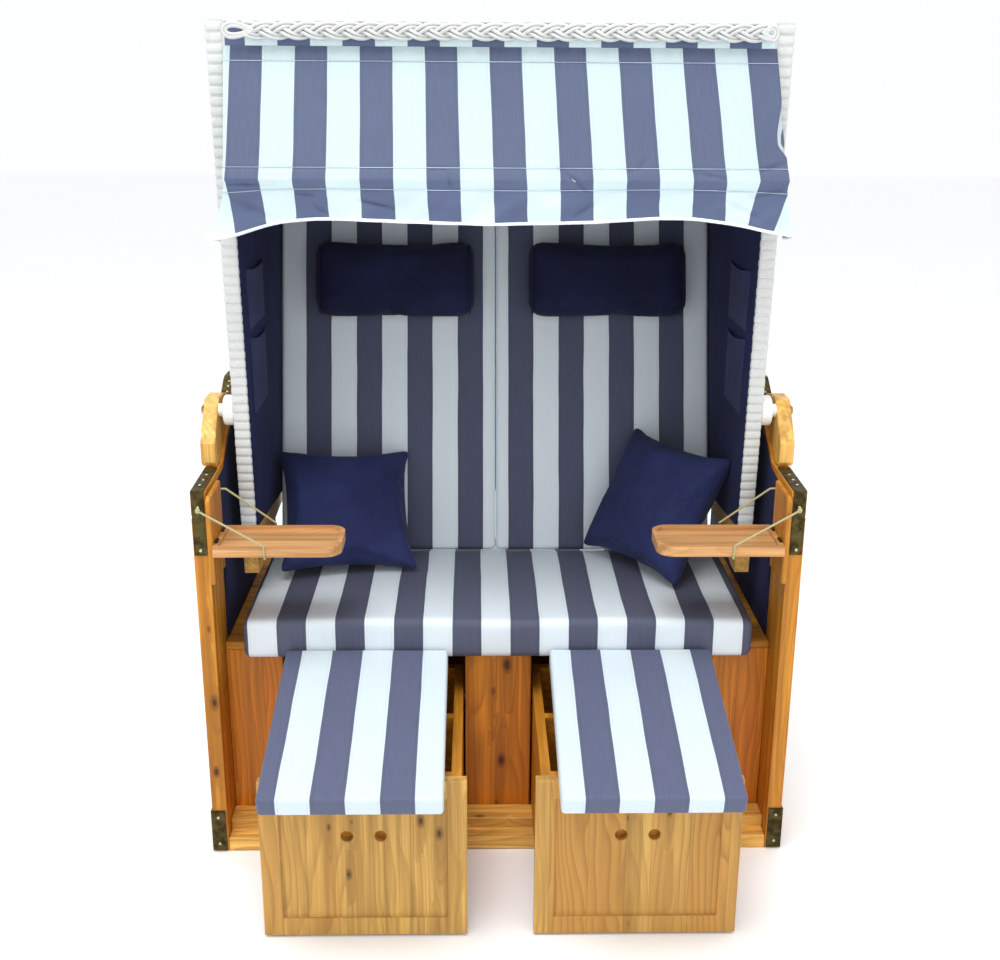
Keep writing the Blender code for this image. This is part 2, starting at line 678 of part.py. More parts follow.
def pad_size():
    """The pad's length, thickness, edge share and the place of its rear lower edge."""
    edge_share = 0.75
    reach = DRAWER_TOP + GAP + (SEAT_CUSHION_FRONT - GAP - DRAWER_FRONT) * math.tan(PAD_SLOPE)
    thick = (PAD_REAR_TOP_Z - reach) * math.cos(PAD_SLOPE)
    rear_y = SEAT_CUSHION_FRONT - GAP
    length = (rear_y - PAD_FRONT_Y - edge_share * thick * math.sin(PAD_SLOPE)) / math.cos(PAD_SLOPE)
    return length, thick, edge_share, rear_y, reach


def footrest_pad(side, sign, empty):
    """A sloping pad from the seat cushion's front face down to the footrest's top edge."""
    length, thick, edge_share, rear_y, rear_z = pad_size()
    shape = cushion_shape(PAD_OUTER - PAD_INNER, length, thick, edge_share, 0.0, True, (6, 8, 2))
    turn = Euler((PAD_SLOPE, 0, 0)).to_matrix()
    centre = Vector((sign * (PAD_INNER + PAD_OUTER) / 2, rear_y, rear_z))
    centre -= turn @ Vector((0, length / 2, 0))
    placed_cushion(side + "_footrest_pad", shape, turn, centre, STRIPED, empty)


def seat_cushion():
    """The wide seat cushion, whose front hangs a little way down over the seat box."""
    board = SEAT_BOARD_TOP + GAP
    face = SEAT_BOX_FRONT - GAP
    length = SEAT_CUSHION_REAR - face
    row_shares = (0.04, 0.2, 0.45, 0.7, 0.93, 1.0)
    front = SEAT_CUSHION_FRONT
    rows = [front, (front + face) / 2, face, face + GAP]
    rows += [face + length * share for share in row_shares]
    shape = grid_box(12, len(rows) - 1, 2)
    for vert in shape.verts:
        a, b, c = vert.co
        y = rows[round((b + 1) / 2 * (len(rows) - 1))]
        low = SEAT_CUSHION_SKIRT if y <= face else board
        along = (y - front) / (SEAT_CUSHION_REAR - front)
        crown = ((1 - a ** 6) * (1 - (2 * along - 1) ** 6)) ** 0.5
        high = board + (SEAT_CUSHION_TOP - board) * (0.76 + 0.24 * crown)
        vert.co = (a * SEAT_CUSHION_HALF, y, low + (high - low) * (c + 1) / 2)
    placed_cushion("seat_cushion", shape, Matrix.Identity(3), (0, 0, 0), STRIPED, ORIGIN)


def hood_pivots(side, sign):
    """The bearing block on the side frame's rail, its bolt and the white disc beside the hood."""
    x = span(sign, BLOCK_INNER, BLOCK_INNER + BLOCK_THICK)
    seat_line = [(y, arm_top(y) + GAP) for y in (BLOCK_FRONT + OVERRUN, ARM_DEPTH, BLOCK_REAR)]
    outline = seat_line + [(BLOCK_REAR, BLOCK_TOP - OVERRUN), (BLOCK_CROWN_REAR, BLOCK_TOP),
                           (BLOCK_CROWN_FRONT, BLOCK_TOP),
                           (BLOCK_FRONT, BLOCK_SHOULDER), (BLOCK_FRONT, seat_line[0][1] + OVERRUN)]
    block = solid_plate(side + "_pivot_block", [outline], *x, "X")
    hole = bore_cutter(side + "_block_bore", BOLT_RADIUS + BORE_PLAY, x[0] - OVERRUN, x[1] + OVERRUN)
    cut(block, hole)
    round_edges(block)
    finish(block, WOOD, ORIGIN)
    outer = BLOCK_INNER + BLOCK_THICK + GAP
    shank_end = HOOD_OUTER - BOLT_DEPTH_IN_HOOD
    shank = shank_end - outer
    profile = [(BOLT_HEAD_HEIGHT, 0), (BOLT_HEAD_HEIGHT * 0.8, BOLT_HEAD_RADIUS * 0.6),
               (0, BOLT_HEAD_RADIUS), (0, BOLT_RADIUS), (shank, BOLT_RADIUS), (shank, 0)]
    turned(side + "_pivot_bolt", profile, False, 16, (sign * outer, PIVOT_Y, PIVOT_Z), sign,
           COPPER, ORIGIN)
    start = HOOD_OUTER + GAP
    bore = BOLT_RADIUS + BORE_PLAY
    neck = BLOCK_INNER - GAP - start
    profile = [(neck, bore), (neck, DISC_NECK_RADIUS), (DISC_THICK, DISC_NECK_RADIUS),
               (DISC_THICK, DISC_RADIUS - EDGE_ROUND), (DISC_THICK - EDGE_ROUND, DISC_RADIUS),
               (EDGE_ROUND, DISC_RADIUS), (0, DISC_RADIUS - EDGE_ROUND), (0, bore)]
    turned(side + "_pivot_disc", profile, True, 20, (sign * start, PIVOT_Y, PIVOT_Z), sign,
           WHITE, ORIGIN)


def hood_back_depth():
    """The level distance from the backrest's front face to the hood's outer back."""
    layers = BACK_CUSHION_THICK + BACK_BOARD_THICK + HOOD_SHELL_THICK + HOOD_SHELL_INSET + 2 * GAP
    return layers / math.cos(BACK_LEAN)


def hood_corner():
    """The centre of the hood's rounded rear top corner."""
    z = HOOD_TOP - HOOD_CORNER_RADIUS
    line = (back_y(z) + hood_back_depth()) * math.cos(BACK_LEAN) - z * math.sin(BACK_LEAN)
    y = (line - HOOD_CORNER_RADIUS + z * math.sin(BACK_LEAN)) / math.cos(BACK_LEAN)
    return y, z


def hood_line(inset, front, low_z):
    """The hood's roof, rounded corner and back, from the front to a height near the seat."""
    y, z = hood_corner()
    radius = HOOD_CORNER_RADIUS - inset
    steps = 8
    turn = math.pi / 2 + BACK_LEAN
    points = [(front, HOOD_TOP - inset)]
    for step in range(steps + 1):
        angle = math.pi / 2 - turn * step / steps
        points.append((y + radius * math.cos(angle), z + radius * math.sin(angle)))
    low_y = back_y(low_z) + hood_back_depth() - inset / math.cos(BACK_LEAN)
    points.append((low_y, low_z))
    return points


def hood_shell(empty):
    """The woven roof and back in one bent sheet, with a deeper front edge, and the back board."""
    inset = HOOD_SHELL_INSET
    inner = inset + HOOD_SHELL_THICK
    x = HOOD_INNER - GAP
    fascia_low = HOOD_TOP - inset - FASCIA_HEIGHT
    fascia_rear = HOOD_FRONT_TOP_Y + FASCIA_DEPTH
    outline = hood_line(inset, HOOD_FRONT_TOP_Y, HOOD_BACK_LOW_Z)
    outline += hood_line(inner, fascia_rear, HOOD_BACK_LOW_Z)[::-1]
    outline += [(fascia_rear, fascia_low), (HOOD_FRONT_TOP_Y, fascia_low)]
    plate("hood_shell", [outline], -x, x, "X", WICKER, empty, rounded=False)
    front = BACK_CUSHION_THICK / math.cos(BACK_LEAN) + GAP
    depth = BACK_BOARD_THICK / math.cos(BACK_LEAN)
    low, high = HOOD_BACK_LOW_Z, BACK_BOARD_TOP
    outline = [(back_y(low) + front, low), (back_y(low) + front + depth, low),
               (back_y(high) + front + depth, high), (back_y(high) + front, high)]
    x = LINING_INNER - GAP
    plate("back_board", [outline], -x, x, "X", WOOD, empty, rounded=False)


def hood_side(side, sign, empty):
    """One woven hood side, the wooden rail under it and the fabric lining inside it."""
    x = span(sign, HOOD_INNER, HOOD_OUTER)
    lower = (HOOD_FRONT_LOW_Y, HOOD_FRONT_LOW_Z)
    outline = hood_line(0, HOOD_FRONT_TOP_Y, HOOD_BACK_LOW_Z) + [lower]
    panel = solid_plate(side + "_hood_side", [outline], *x, "X")
    hole = bore_cutter(side + "_hood_bore", BOLT_RADIUS + BORE_PLAY,
                       *span(sign, HOOD_OUTER - BOLT_DEPTH_IN_HOOD - BORE_PLAY,
                             HOOD_OUTER + OVERRUN))
    cut(panel, hole)
    finish(panel, WICKER, empty)
    rear_y = outline[-2][0]
    slope = (HOOD_FRONT_LOW_Z - HOOD_BACK_LOW_Z) / (rear_y - HOOD_FRONT_LOW_Y)
    post = HOOD_FRONT_LOW_Y + FOOT_RAIL_POST
    rail = [(HOOD_FRONT_LOW_Y + GAP, HOOD_FRONT_LOW_Z - GAP), (rear_y - GAP, HOOD_BACK_LOW_Z - GAP),
            (rear_y - FOOT_RAIL_REAR_HEIGHT / 2, HOOD_BACK_LOW_Z - FOOT_RAIL_REAR_HEIGHT)]
    scoop_shares = ((0.75, 0.97), (0.45, 0.8), (0.2, 0.45), (0.06, 0.14), (0.0, 0.0))
    reach = rear_y - post
    rise = HOOD_BACK_LOW_Z - FOOT_RAIL_REAR_HEIGHT - FOOT_RAIL_LOW
    rail += [(post + reach * along, FOOT_RAIL_LOW + rise * up) for along, up in scoop_shares]
    lean = (HOOD_FRONT_LOW_Z - FOOT_RAIL_LOW) * (HOOD_FRONT_LOW_Y - HOOD_FRONT_TOP_Y)
    foot_front = HOOD_FRONT_LOW_Y + lean / (HOOD_TOP - HOOD_FRONT_LOW_Z)
    rail.append((foot_front, FOOT_RAIL_LOW))
    plate(side + "_hood_foot_rail", [rail], *x, "X", WOOD, empty)
    x = span(sign, LINING_INNER, HOOD_INNER - GAP)
    inset = HOOD_SHELL_INSET + HOOD_SHELL_THICK + GAP
    top = HOOD_TOP - HOOD_SHELL_INSET - FASCIA_HEIGHT - GAP
    corner_y, corner_z = hood_corner()
    radius = HOOD_CORNER_RADIUS - inset
    behind = [point for point in hood_line(inset, 0, HOOD_BACK_LOW_Z) if point[1] < top]
    top_y = corner_y + math.sqrt(radius ** 2 - (top - corner_z) ** 2)
    margin = LINING_THICK
    front_low = HOOD_FRONT_LOW_Y + margin
    lean_share = (top - HOOD_FRONT_LOW_Z) / (HOOD_TOP - HOOD_FRONT_LOW_Z)
    front_top = front_low - (HOOD_FRONT_LOW_Y - HOOD_FRONT_TOP_Y) * lean_share
    outline = [(front_top, top), (top_y, top), *behind,
               (front_low, HOOD_FRONT_LOW_Z - slope * margin)]
    plate(side + "_hood_lining", [outline], *x, "X", NAVY, empty, rounded=False)


def back_cushions(side, sign, empty):
    """A tall striped back cushion and the navy head cushion that hangs on it."""
    low_z = BACK_START_Z
    height = (BACK_TOP_Z - low_z) / math.cos(BACK_LEAN)
    shape = cushion_shape(BACK_CUSHION_WIDTH, height, BACK_CUSHION_THICK, 1 - BACK_CROWN_SHARE,
                          0.0, True, (8, 10, 2))
    turn = leaning()
    up, out = turn @ Vector((0, 1, 0)), turn @ Vector((0, 0, 1))
    middle = sign * (GAP / 2 + BACK_CUSHION_WIDTH / 2)
    foot = Vector((middle, back_y(low_z), low_z)) - out * BACK_CUSHION_THICK
    placed_cushion(side + "_back_cushion", shape, turn, foot + up * height / 2, STRIPED, empty)
    shape = cushion_shape(HEAD_WIDTH, HEAD_HEIGHT, HEAD_THICK, 0.3, 0.03, False, (8, 6, 2))
    across = HEAD_LEFT_X if sign < 0 else HEAD_RIGHT_X
    place = Vector((across, back_y(HEAD_CENTRE_Z), HEAD_CENTRE_Z)) + out * (HEAD_THICK / 2 + GAP)
    placed_cushion(side + "_head_cushion", shape, turn, place, NAVY, empty)


def pillow_turn(degrees):
    """The turn of a pillow that leans back, is swung round the upright, and is rolled in its own
    plane, each in degrees."""
    lean, swing, roll = (math.radians(angle) for angle in degrees)
    stood = Euler((math.pi / 2 - lean, 0, 0)).to_matrix()
    return Euler((0, 0, swing)).to_matrix() @ stood @ Euler((0, 0, roll)).to_matrix()


def throw_pillow(side, sign, turn, empty):
    """A square pillow, set down on the seat and against the backrest and the hood's lining."""
    shape = cushion_shape(PILLOW_SIZE, PILLOW_SIZE, PILLOW_THICK, 0.1, 0.07, False, (8, 8, 2))
    corners = [turn @ vert.co for vert in shape.verts]
    x = sign * (LINING_INNER - 2 * GAP - max(sign * point.x for point in corners))
    z = SEAT_CUSHION_TOP + GAP - min(point.z for point in corners)
    y = min(back_y(point.z + z) - point.y for point in corners) - 2 * GAP
    placed_cushion(side + "_throw_pillow", shape, turn, (x, y, z), NAVY, empty)


def braid(empty):
    """The round braid along the hood's top front edge."""
    half = HOOD_INNER - 2 * GAP
    y = HOOD_FRONT_TOP_Y - GAP - BRAID_RADIUS
    z = HOOD_TOP - HOOD_SHELL_INSET - BRAID_RADIUS
    wire("top_braid", [(-half, y, z), (half, y, z)], BRAID_RADIUS, WICKER, empty)


def awning_bow(empty):
    """A bent steel bow, turning on the inner faces of the hood's sides."""
    arm_x = LINING_INNER - BOW_SIDE_PLAY - BOW_RADIUS
    half = [(LINING_INNER - GAP, BOW_PIVOT_Y), (arm_x + BOW_RADIUS / 2, BOW_PIVOT_Y),
            (arm_x, BOW_PIVOT_Y - BOW_RADIUS)]
    for step in range(5):
        angle = math.radians(22.5 * step)
        half.append((arm_x - BOW_CORNER * (1 - math.cos(angle)),
                     BOW_FRONT + BOW_CORNER * (1 - math.sin(angle))))
    points = [(-x, y, BOW_PIVOT_Z) for x, y in half] + [(x, y, BOW_PIVOT_Z) for x, y in half[::-1]]
    wire("awning_bow", points, BOW_RADIUS, STEEL, empty)


def awning_point(across, down):
    """A point of the awning's inner face: across is -1 to 1, down is 0 at the top, 1 at the bow,
    and 2 at the hem."""
    top_y = HOOD_FRONT_TOP_Y - GAP
    top_z = HOOD_TOP - HOOD_SHELL_INSET - 2 * BRAID_RADIUS - AWNING_TOP_CLEAR
    bar_y = BOW_FRONT - AWNING_BAR_CLEAR
    share = min(down, 1.0)
    half = AWNING_TOP_HALF + (AWNING_BAR_HALF - AWNING_TOP_HALF) * share
    flap = AWNING_FLAP * share
    y = top_y + (bar_y - top_y) * share
    z = top_z + (BOW_PIVOT_Z - top_z) * share
    ripple = math.sin(across * 19) + 0.6 * math.sin(across * 43 + 1.3)
    if down > 1:
        below = down - 1
        hem = AWNING_HEM_MIDDLE + (AWNING_HEM_CORNER - AWNING_HEM_MIDDLE) * abs(across) ** 3
        z += (hem - z) * below
        y += (AWNING_HEM_SET_BACK + AWNING_FOLD * ripple) * below
        half += AWNING_HEM_FLARE * below
    else:
        y -= AWNING_FOLD * 0.4 * (ripple + 1.6) * math.sin(math.pi * share)
    corner = 1 - 2 * AWNING_FLAP_COLUMNS / AWNING_COLUMNS
    side = min(abs(across) / corner, 1.0) * half
    back = max(0.0, abs(across) - corner) / (1 - corner) * flap
    return math.copysign(side, across), y + back, z


def awning(empty):
    """The striped awning: one sheet from the braid over the bow to its hem, with side flaps."""
    columns, above, below = AWNING_COLUMNS, 5, 3
    shape = bmesh.new()
    bmesh.ops.create_grid(shape, x_segments=columns, y_segments=above + below, size=1.0)
    for vert in shape.verts:
        row = round((1 - vert.co.y) / 2 * (above + below))
        down = row / above if row <= above else 1 + (row - above) / below
        vert.co = awning_point(vert.co.x, down)
    bmesh.ops.recalc_face_normals(shape, faces=shape.faces)
    if sum(face.normal.y for face in shape.faces) > 0:
        bmesh.ops.reverse_faces(shape, faces=shape.faces)
    obj = mesh_object("awning", shape)
    thick = obj.modifiers.new("cloth", "SOLIDIFY")
    thick.thickness = AWNING_THICK
    thick.offset = 1.0
    smooth(obj, math.radians(60))
    return finish(obj, STRIPED, empty)


def build():
    """Make the chair, from the floor up."""
    for side, sign in SIDES:
        side_frame(side, sign)
        side_straps(side, sign)
    seat_box()
    seat_cushion()
    for side, sign in SIDES:
        hinge_x = sign * (FRAME_INNER - 2 * GAP - TRAY_MOUNT_THICK)
        tray(side, sign, make_empty(side + "_tray_hinge", (hinge_x, TRAY_REAR / 2, TRAY_TOP), ORIGIN))
        runner = (sign * (DRAWER_INNER + DRAWER_OUTER) / 2, DRAWER_FRONT, SILL_HEIGHT)
        footrest(side, sign, make_empty(side + "_footrest_runner", runner, ORIGIN))
        hood_pivots(side, sign)
    hood = make_empty("hood_pivot", (0, PIVOT_Y, PIVOT_Z), ORIGIN)
    hood_shell(hood)
    braid(hood)
    for side, sign in SIDES:
        hood_side(side, sign, hood)
        back_cushions(side, sign, hood)
    throw_pillow("left", -1, pillow_turn(PILLOW_LEFT_TURN), hood)
    throw_pillow("right", 1, pillow_turn(PILLOW_RIGHT_TURN), hood)
    bow = make_empty("awning_pivot", (0, BOW_PIVOT_Y, BOW_PIVOT_Z), ORIGIN)
    awning_bow(bow)
    awning(bow)


clear_scene()
CHAIR = make_collection("hooded_beach_chair")
CUTTERS = make_collection("cutters")
WOOD = make_material("honey_pine", (0.56, 0.28, 0.08), 0.45)
WOOD_LIGHT = make_material("light_pine", (0.60, 0.38, 0.14), 0.5)
TRAY_WOOD = make_material("tray_wood", (0.58, 0.30, 0.14), 0.4)
WICKER = make_material("white_wicker", (0.85, 0.86, 0.86), 0.5)
NAVY = make_material("navy_fabric", (0.012, 0.016, 0.045), 0.85)
STRIPED = make_material("striped_fabric", (0.32, 0.36, 0.50), 0.8)
BRONZE = make_material("bronze_metal", (0.10, 0.08, 0.04), 0.4, 0.8)
COPPER = make_material("copper_bolt", (0.55, 0.28, 0.12), 0.35, 0.9)
STEEL = make_material("steel_bow", (0.6, 0.6, 0.62), 0.3, 1.0)
WHITE = make_material("white_plastic", (0.85, 0.85, 0.83), 0.4)
CORD = make_material("tray_cord", (0.55, 0.50, 0.30), 0.7)
MIDDLE_Y = (PAD_FRONT_Y + hood_corner()[0] + HOOD_CORNER_RADIUS) / 2
ORIGIN = make_empty("chair_origin", (0, -MIDDLE_Y, 0))
build()
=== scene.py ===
"""The looks of a two-seat hooded beach chair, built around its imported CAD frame.

Every length is in metres. X is the chair's width, Y runs back and Z is up. Depths written as
numbers below count from the front face of the side frames, and at() turns them into world ones.
"""
import json
import math
from itertools import product

import bpy
from bpy.props import FloatProperty, FloatVectorProperty, IntProperty, PointerProperty
from mathutils import Euler, Matrix, Vector, noise

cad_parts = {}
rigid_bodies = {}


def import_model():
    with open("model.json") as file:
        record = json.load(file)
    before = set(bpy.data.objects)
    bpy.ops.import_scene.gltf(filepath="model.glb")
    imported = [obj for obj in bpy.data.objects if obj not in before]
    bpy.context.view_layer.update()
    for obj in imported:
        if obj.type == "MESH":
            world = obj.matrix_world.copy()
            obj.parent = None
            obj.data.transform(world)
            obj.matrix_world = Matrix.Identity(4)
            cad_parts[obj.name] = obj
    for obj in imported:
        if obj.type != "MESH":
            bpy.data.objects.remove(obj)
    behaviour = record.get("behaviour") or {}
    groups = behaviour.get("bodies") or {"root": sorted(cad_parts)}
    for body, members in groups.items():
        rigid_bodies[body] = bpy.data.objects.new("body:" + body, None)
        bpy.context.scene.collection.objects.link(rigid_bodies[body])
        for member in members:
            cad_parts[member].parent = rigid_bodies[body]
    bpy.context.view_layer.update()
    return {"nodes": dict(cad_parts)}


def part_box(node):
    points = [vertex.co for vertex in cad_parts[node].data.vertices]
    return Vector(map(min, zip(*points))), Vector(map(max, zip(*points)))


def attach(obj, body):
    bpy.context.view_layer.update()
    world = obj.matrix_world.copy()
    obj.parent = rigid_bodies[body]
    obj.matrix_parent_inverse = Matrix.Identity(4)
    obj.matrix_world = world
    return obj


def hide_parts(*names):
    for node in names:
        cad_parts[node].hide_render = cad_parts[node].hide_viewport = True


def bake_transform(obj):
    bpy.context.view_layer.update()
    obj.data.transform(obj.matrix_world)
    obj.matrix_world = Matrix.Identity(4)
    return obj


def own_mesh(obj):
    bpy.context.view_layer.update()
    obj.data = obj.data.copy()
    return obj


bl_info = {
    "name": "Hooded Beach Chair",
    "version": (1, 0, 0),
    "blender": (4, 5, 0),
    "location": "View3D > Sidebar > Beach Chair",
    "description": "Dresses the frame of a two-seat hooded beach chair in wood, weave and fabric",
    "category": "Object",
}

for stray in list(bpy.data.objects):
    bpy.data.objects.remove(stray, do_unlink=True)

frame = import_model()
NODES = frame["nodes"]
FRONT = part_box("left_front_stile")[0][1]
SIDES = (("left", -1), ("right", 1))
LEAN = math.atan(0.3137)
BACK_TURN = Euler((math.pi / 2 - LEAN, 0, 0)).to_matrix()
BACK_FACE_Y = 0.447
BACK_FACE_Z = 0.500
HOOD_TOP = 1.596
PAD_SLOPE = math.radians(12.9)


def at(y):
    """The world depth of a point that lies y behind the side frames' front face."""
    return y + FRONT


def backrest_y(z):
    """The world depth of the backrest's front face at a height."""
    return at(BACK_FACE_Y + (z - BACK_FACE_Z) * math.tan(LEAN))


def measure(name, description, default, low, high):
    """A property that holds one length in metres."""
    return FloatProperty(name=name, description=description, default=default, min=low, max=high,
                         unit="LENGTH")


def tint(name, description, *default):
    """A property that holds one colour."""
    return FloatVectorProperty(name=name, description=description, default=default, size=3, min=0,
                               max=1, subtype="COLOR")


class BeachChairSizes(bpy.types.PropertyGroup):
    """The lengths of the chair's fabric and weave."""

    stripe: measure("Stripe Width", "Width of one stripe of the fabric", 0.057, 0.01, 0.2)
    strand: measure("Strand Height", "Height of one woven strand", 0.008, 0.004, 0.03)
    stake: measure("Stake Spacing", "Distance between two upright stakes", 0.045, 0.02, 0.1)
    wrap: measure("Wrap Height", "Height of one wrapped turn on an edge", 0.0177, 0.01, 0.05)
    braid_pitch: measure("Braid Pitch", "Distance between two crossings", 0.0363, 0.02, 0.1)
    cane: measure("Cane Radius", "Radius of one cane of the braid", 0.0033, 0.001, 0.006)
    plump_steps: IntProperty(name="Plump Steps", description="Frames of cloth run on a pillow",
                             default=14, min=1, max=40)


class BeachChairColours(bpy.types.PropertyGroup):
    """The colours of the chair's finishes."""

    pine: tint("Pine", "Base colour of the stained pine", 0.64, 0.265, 0.024)
    pine_light: tint("Light Pine", "Colour of the drawer fronts", 0.56, 0.325, 0.082)
    tray: tint("Tray Wood", "Colour of the two trays", 0.66, 0.350, 0.140)
    navy: tint("Navy Cloth", "Colour of pillows and linings", 0.0155, 0.0205, 0.074)
    stripe: tint("Blue Stripe", "Colour of the dark stripes", 0.076, 0.084, 0.138)
    bleached: tint("Bleached Stripe", "Colour of the awning's white", 0.49, 0.60, 0.625)
    faded: tint("Faded Stripe", "Colour of the awning's dark stripes", 0.070, 0.092, 0.172)
    pale: tint("Pale Stripe", "Colour of the white stripes", 0.74, 0.815, 0.87)
    weave: tint("Woven Plastic", "Colour of the woven hood", 0.64, 0.66, 0.65)


def sizes():
    return bpy.context.scene.beach_chair_sizes


def colours():
    return bpy.context.scene.beach_chair_colours


def put_away_selection():
    """Leave nothing selected, so that the next operator acts on the new piece alone."""
    if bpy.context.mode != "OBJECT":
        bpy.ops.object.mode_set(mode="OBJECT")
    bpy.ops.object.select_all(action="DESELECT")


def pick(obj):
    """Select one piece alone and make it the active one."""
    put_away_selection()
    obj.select_set(True)
    bpy.context.view_layer.objects.active = obj
    return obj


def settle(obj):
    """Move a piece's place, turn and size into its mesh."""
    pick(obj)
    bpy.ops.object.transform_apply(location=True, rotation=True, scale=True)
    return obj


def apply_modifiers(obj):
    """Make the modifiers of a piece part of its mesh."""
    pick(obj)
    for modifier in list(obj.modifiers):
        bpy.ops.object.modifier_apply(modifier=modifier.name)
    return obj


def smooth(obj, degrees):
    """Shade a piece smooth where its faces meet below an angle."""
    pick(obj)
    bpy.ops.object.shade_smooth_by_angle(angle=math.radians(degrees))
    return obj


def dress(obj, finish, body, degrees=60):
    """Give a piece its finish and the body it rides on. It is shaded smooth where its
    faces meet below an angle. 0 leaves the shading as it is."""
    if degrees:
        smooth(obj, degrees)
    obj.data.materials.clear()
    obj.data.materials.append(FINISHES[finish])
    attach(obj, body)
    return obj


def new_mesh(name, points, faces):
    """A piece made from points and faces, kept at the origin."""
    mesh = bpy.data.meshes.new(name)
    mesh.from_pydata([tuple(point) for point in points], [], faces)
    mesh.update()
    obj = bpy.data.objects.new(name, mesh)
    bpy.context.scene.collection.objects.link(obj)
    return obj


def joined(name, pieces):
    """Several pieces as one."""
    put_away_selection()
    for piece in pieces:
        piece.select_set(True)
    bpy.context.view_layer.objects.active = pieces[0]
    if len(pieces) > 1:
        bpy.ops.object.join()
    pieces[0].name = name
    pieces[0].data.name = name
    return pieces[0]


def face_outwards(obj):
    """Close the seams of a piece and turn all its faces outwards."""
    pick(obj)
    bpy.ops.object.mode_set(mode="EDIT")
    bpy.ops.mesh.select_all(action="SELECT")
    bpy.ops.mesh.remove_doubles(threshold=0.00005)
    bpy.ops.mesh.normals_make_consistent(inside=False)
    bpy.ops.object.mode_set(mode="OBJECT")
    return obj


def grid_faces(rows, columns, closed=False, flip=False):
    """The faces of a net of points, kept row by row. A closed net joins its last column to its
    first, and a flipped one looks the other way."""
    wrap = columns if closed else columns - 1
    faces = [(row * columns + column, row * columns + (column + 1) % columns,
              (row + 1) * columns + (column + 1) % columns, (row + 1) * columns + column)
             for row in range(rows - 1) for column in range(wrap)]
    return [face[::-1] for face in faces] if flip else faces


def tube(name, points, radius, sides=8, flat=1.0, up=(0, 0, 1)):
    """A round cane along points, with closed ends. flat squeezes it across its up direction."""
    path = [Vector(point) for point in points]
    rings = []
    for index, point in enumerate(path):
        ahead = path[min(index + 1, len(path) - 1)] - path[max(index - 1, 0)]
        ahead.normalize()
        side = ahead.cross(Vector(up))
        if side.length < 0.001:
            side = ahead.cross(Vector((1, 0, 0)))
        side.normalize()
        top = side.cross(ahead)
        for step in range(sides):
            angle = math.tau * step / sides
            rings.append(point + side * radius * math.cos(angle)
                         + top * radius * flat * math.sin(angle))
    faces = grid_faces(len(path), sides, closed=True)
    faces.append(tuple(reversed(range(sides))))
    faces.append(tuple(range((len(path) - 1) * sides, len(path) * sides)))
    obj = new_mesh(name, rings, faces)
    return face_outwards(obj)


def outer_x(node, sign):
    """Where the box of a CAD node ends in X, to the right for 1 and to the left for -1."""
    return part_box(node)[1 if sign > 0 else 0][0]


def section(node, height):
    """The lowest and highest depth of a CAD node's solid at a height."""
    mesh = NODES[node].data
    found = []
    for edge in mesh.edges:
        a, b = (mesh.vertices[index].co for index in edge.vertices)
        if min(a.z, b.z) <= height <= max(a.z, b.z):
            share = 0.5 if abs(a.z - b.z) < 1e-7 else (height - a.z) / (b.z - a.z)
            found += [a.y, b.y] if abs(a.z - b.z) < 1e-7 else [a.y + (b.y - a.y) * share]
    return min(found), max(found)


class Wire:
    """A value between shader nodes. A sum or product of wires adds the math node that it needs."""

    def __init__(self, recipe, socket):
        self.recipe = recipe
        self.socket = socket

    def __add__(self, other):
        return self.recipe.maths("ADD", self, other)

    def __sub__(self, other):
        return self.recipe.maths("SUBTRACT", self, other)

    def __mul__(self, other):
        return self.recipe.maths("MULTIPLY", self, other)

    def __truediv__(self, other):
        return self.recipe.maths("DIVIDE", self, other)


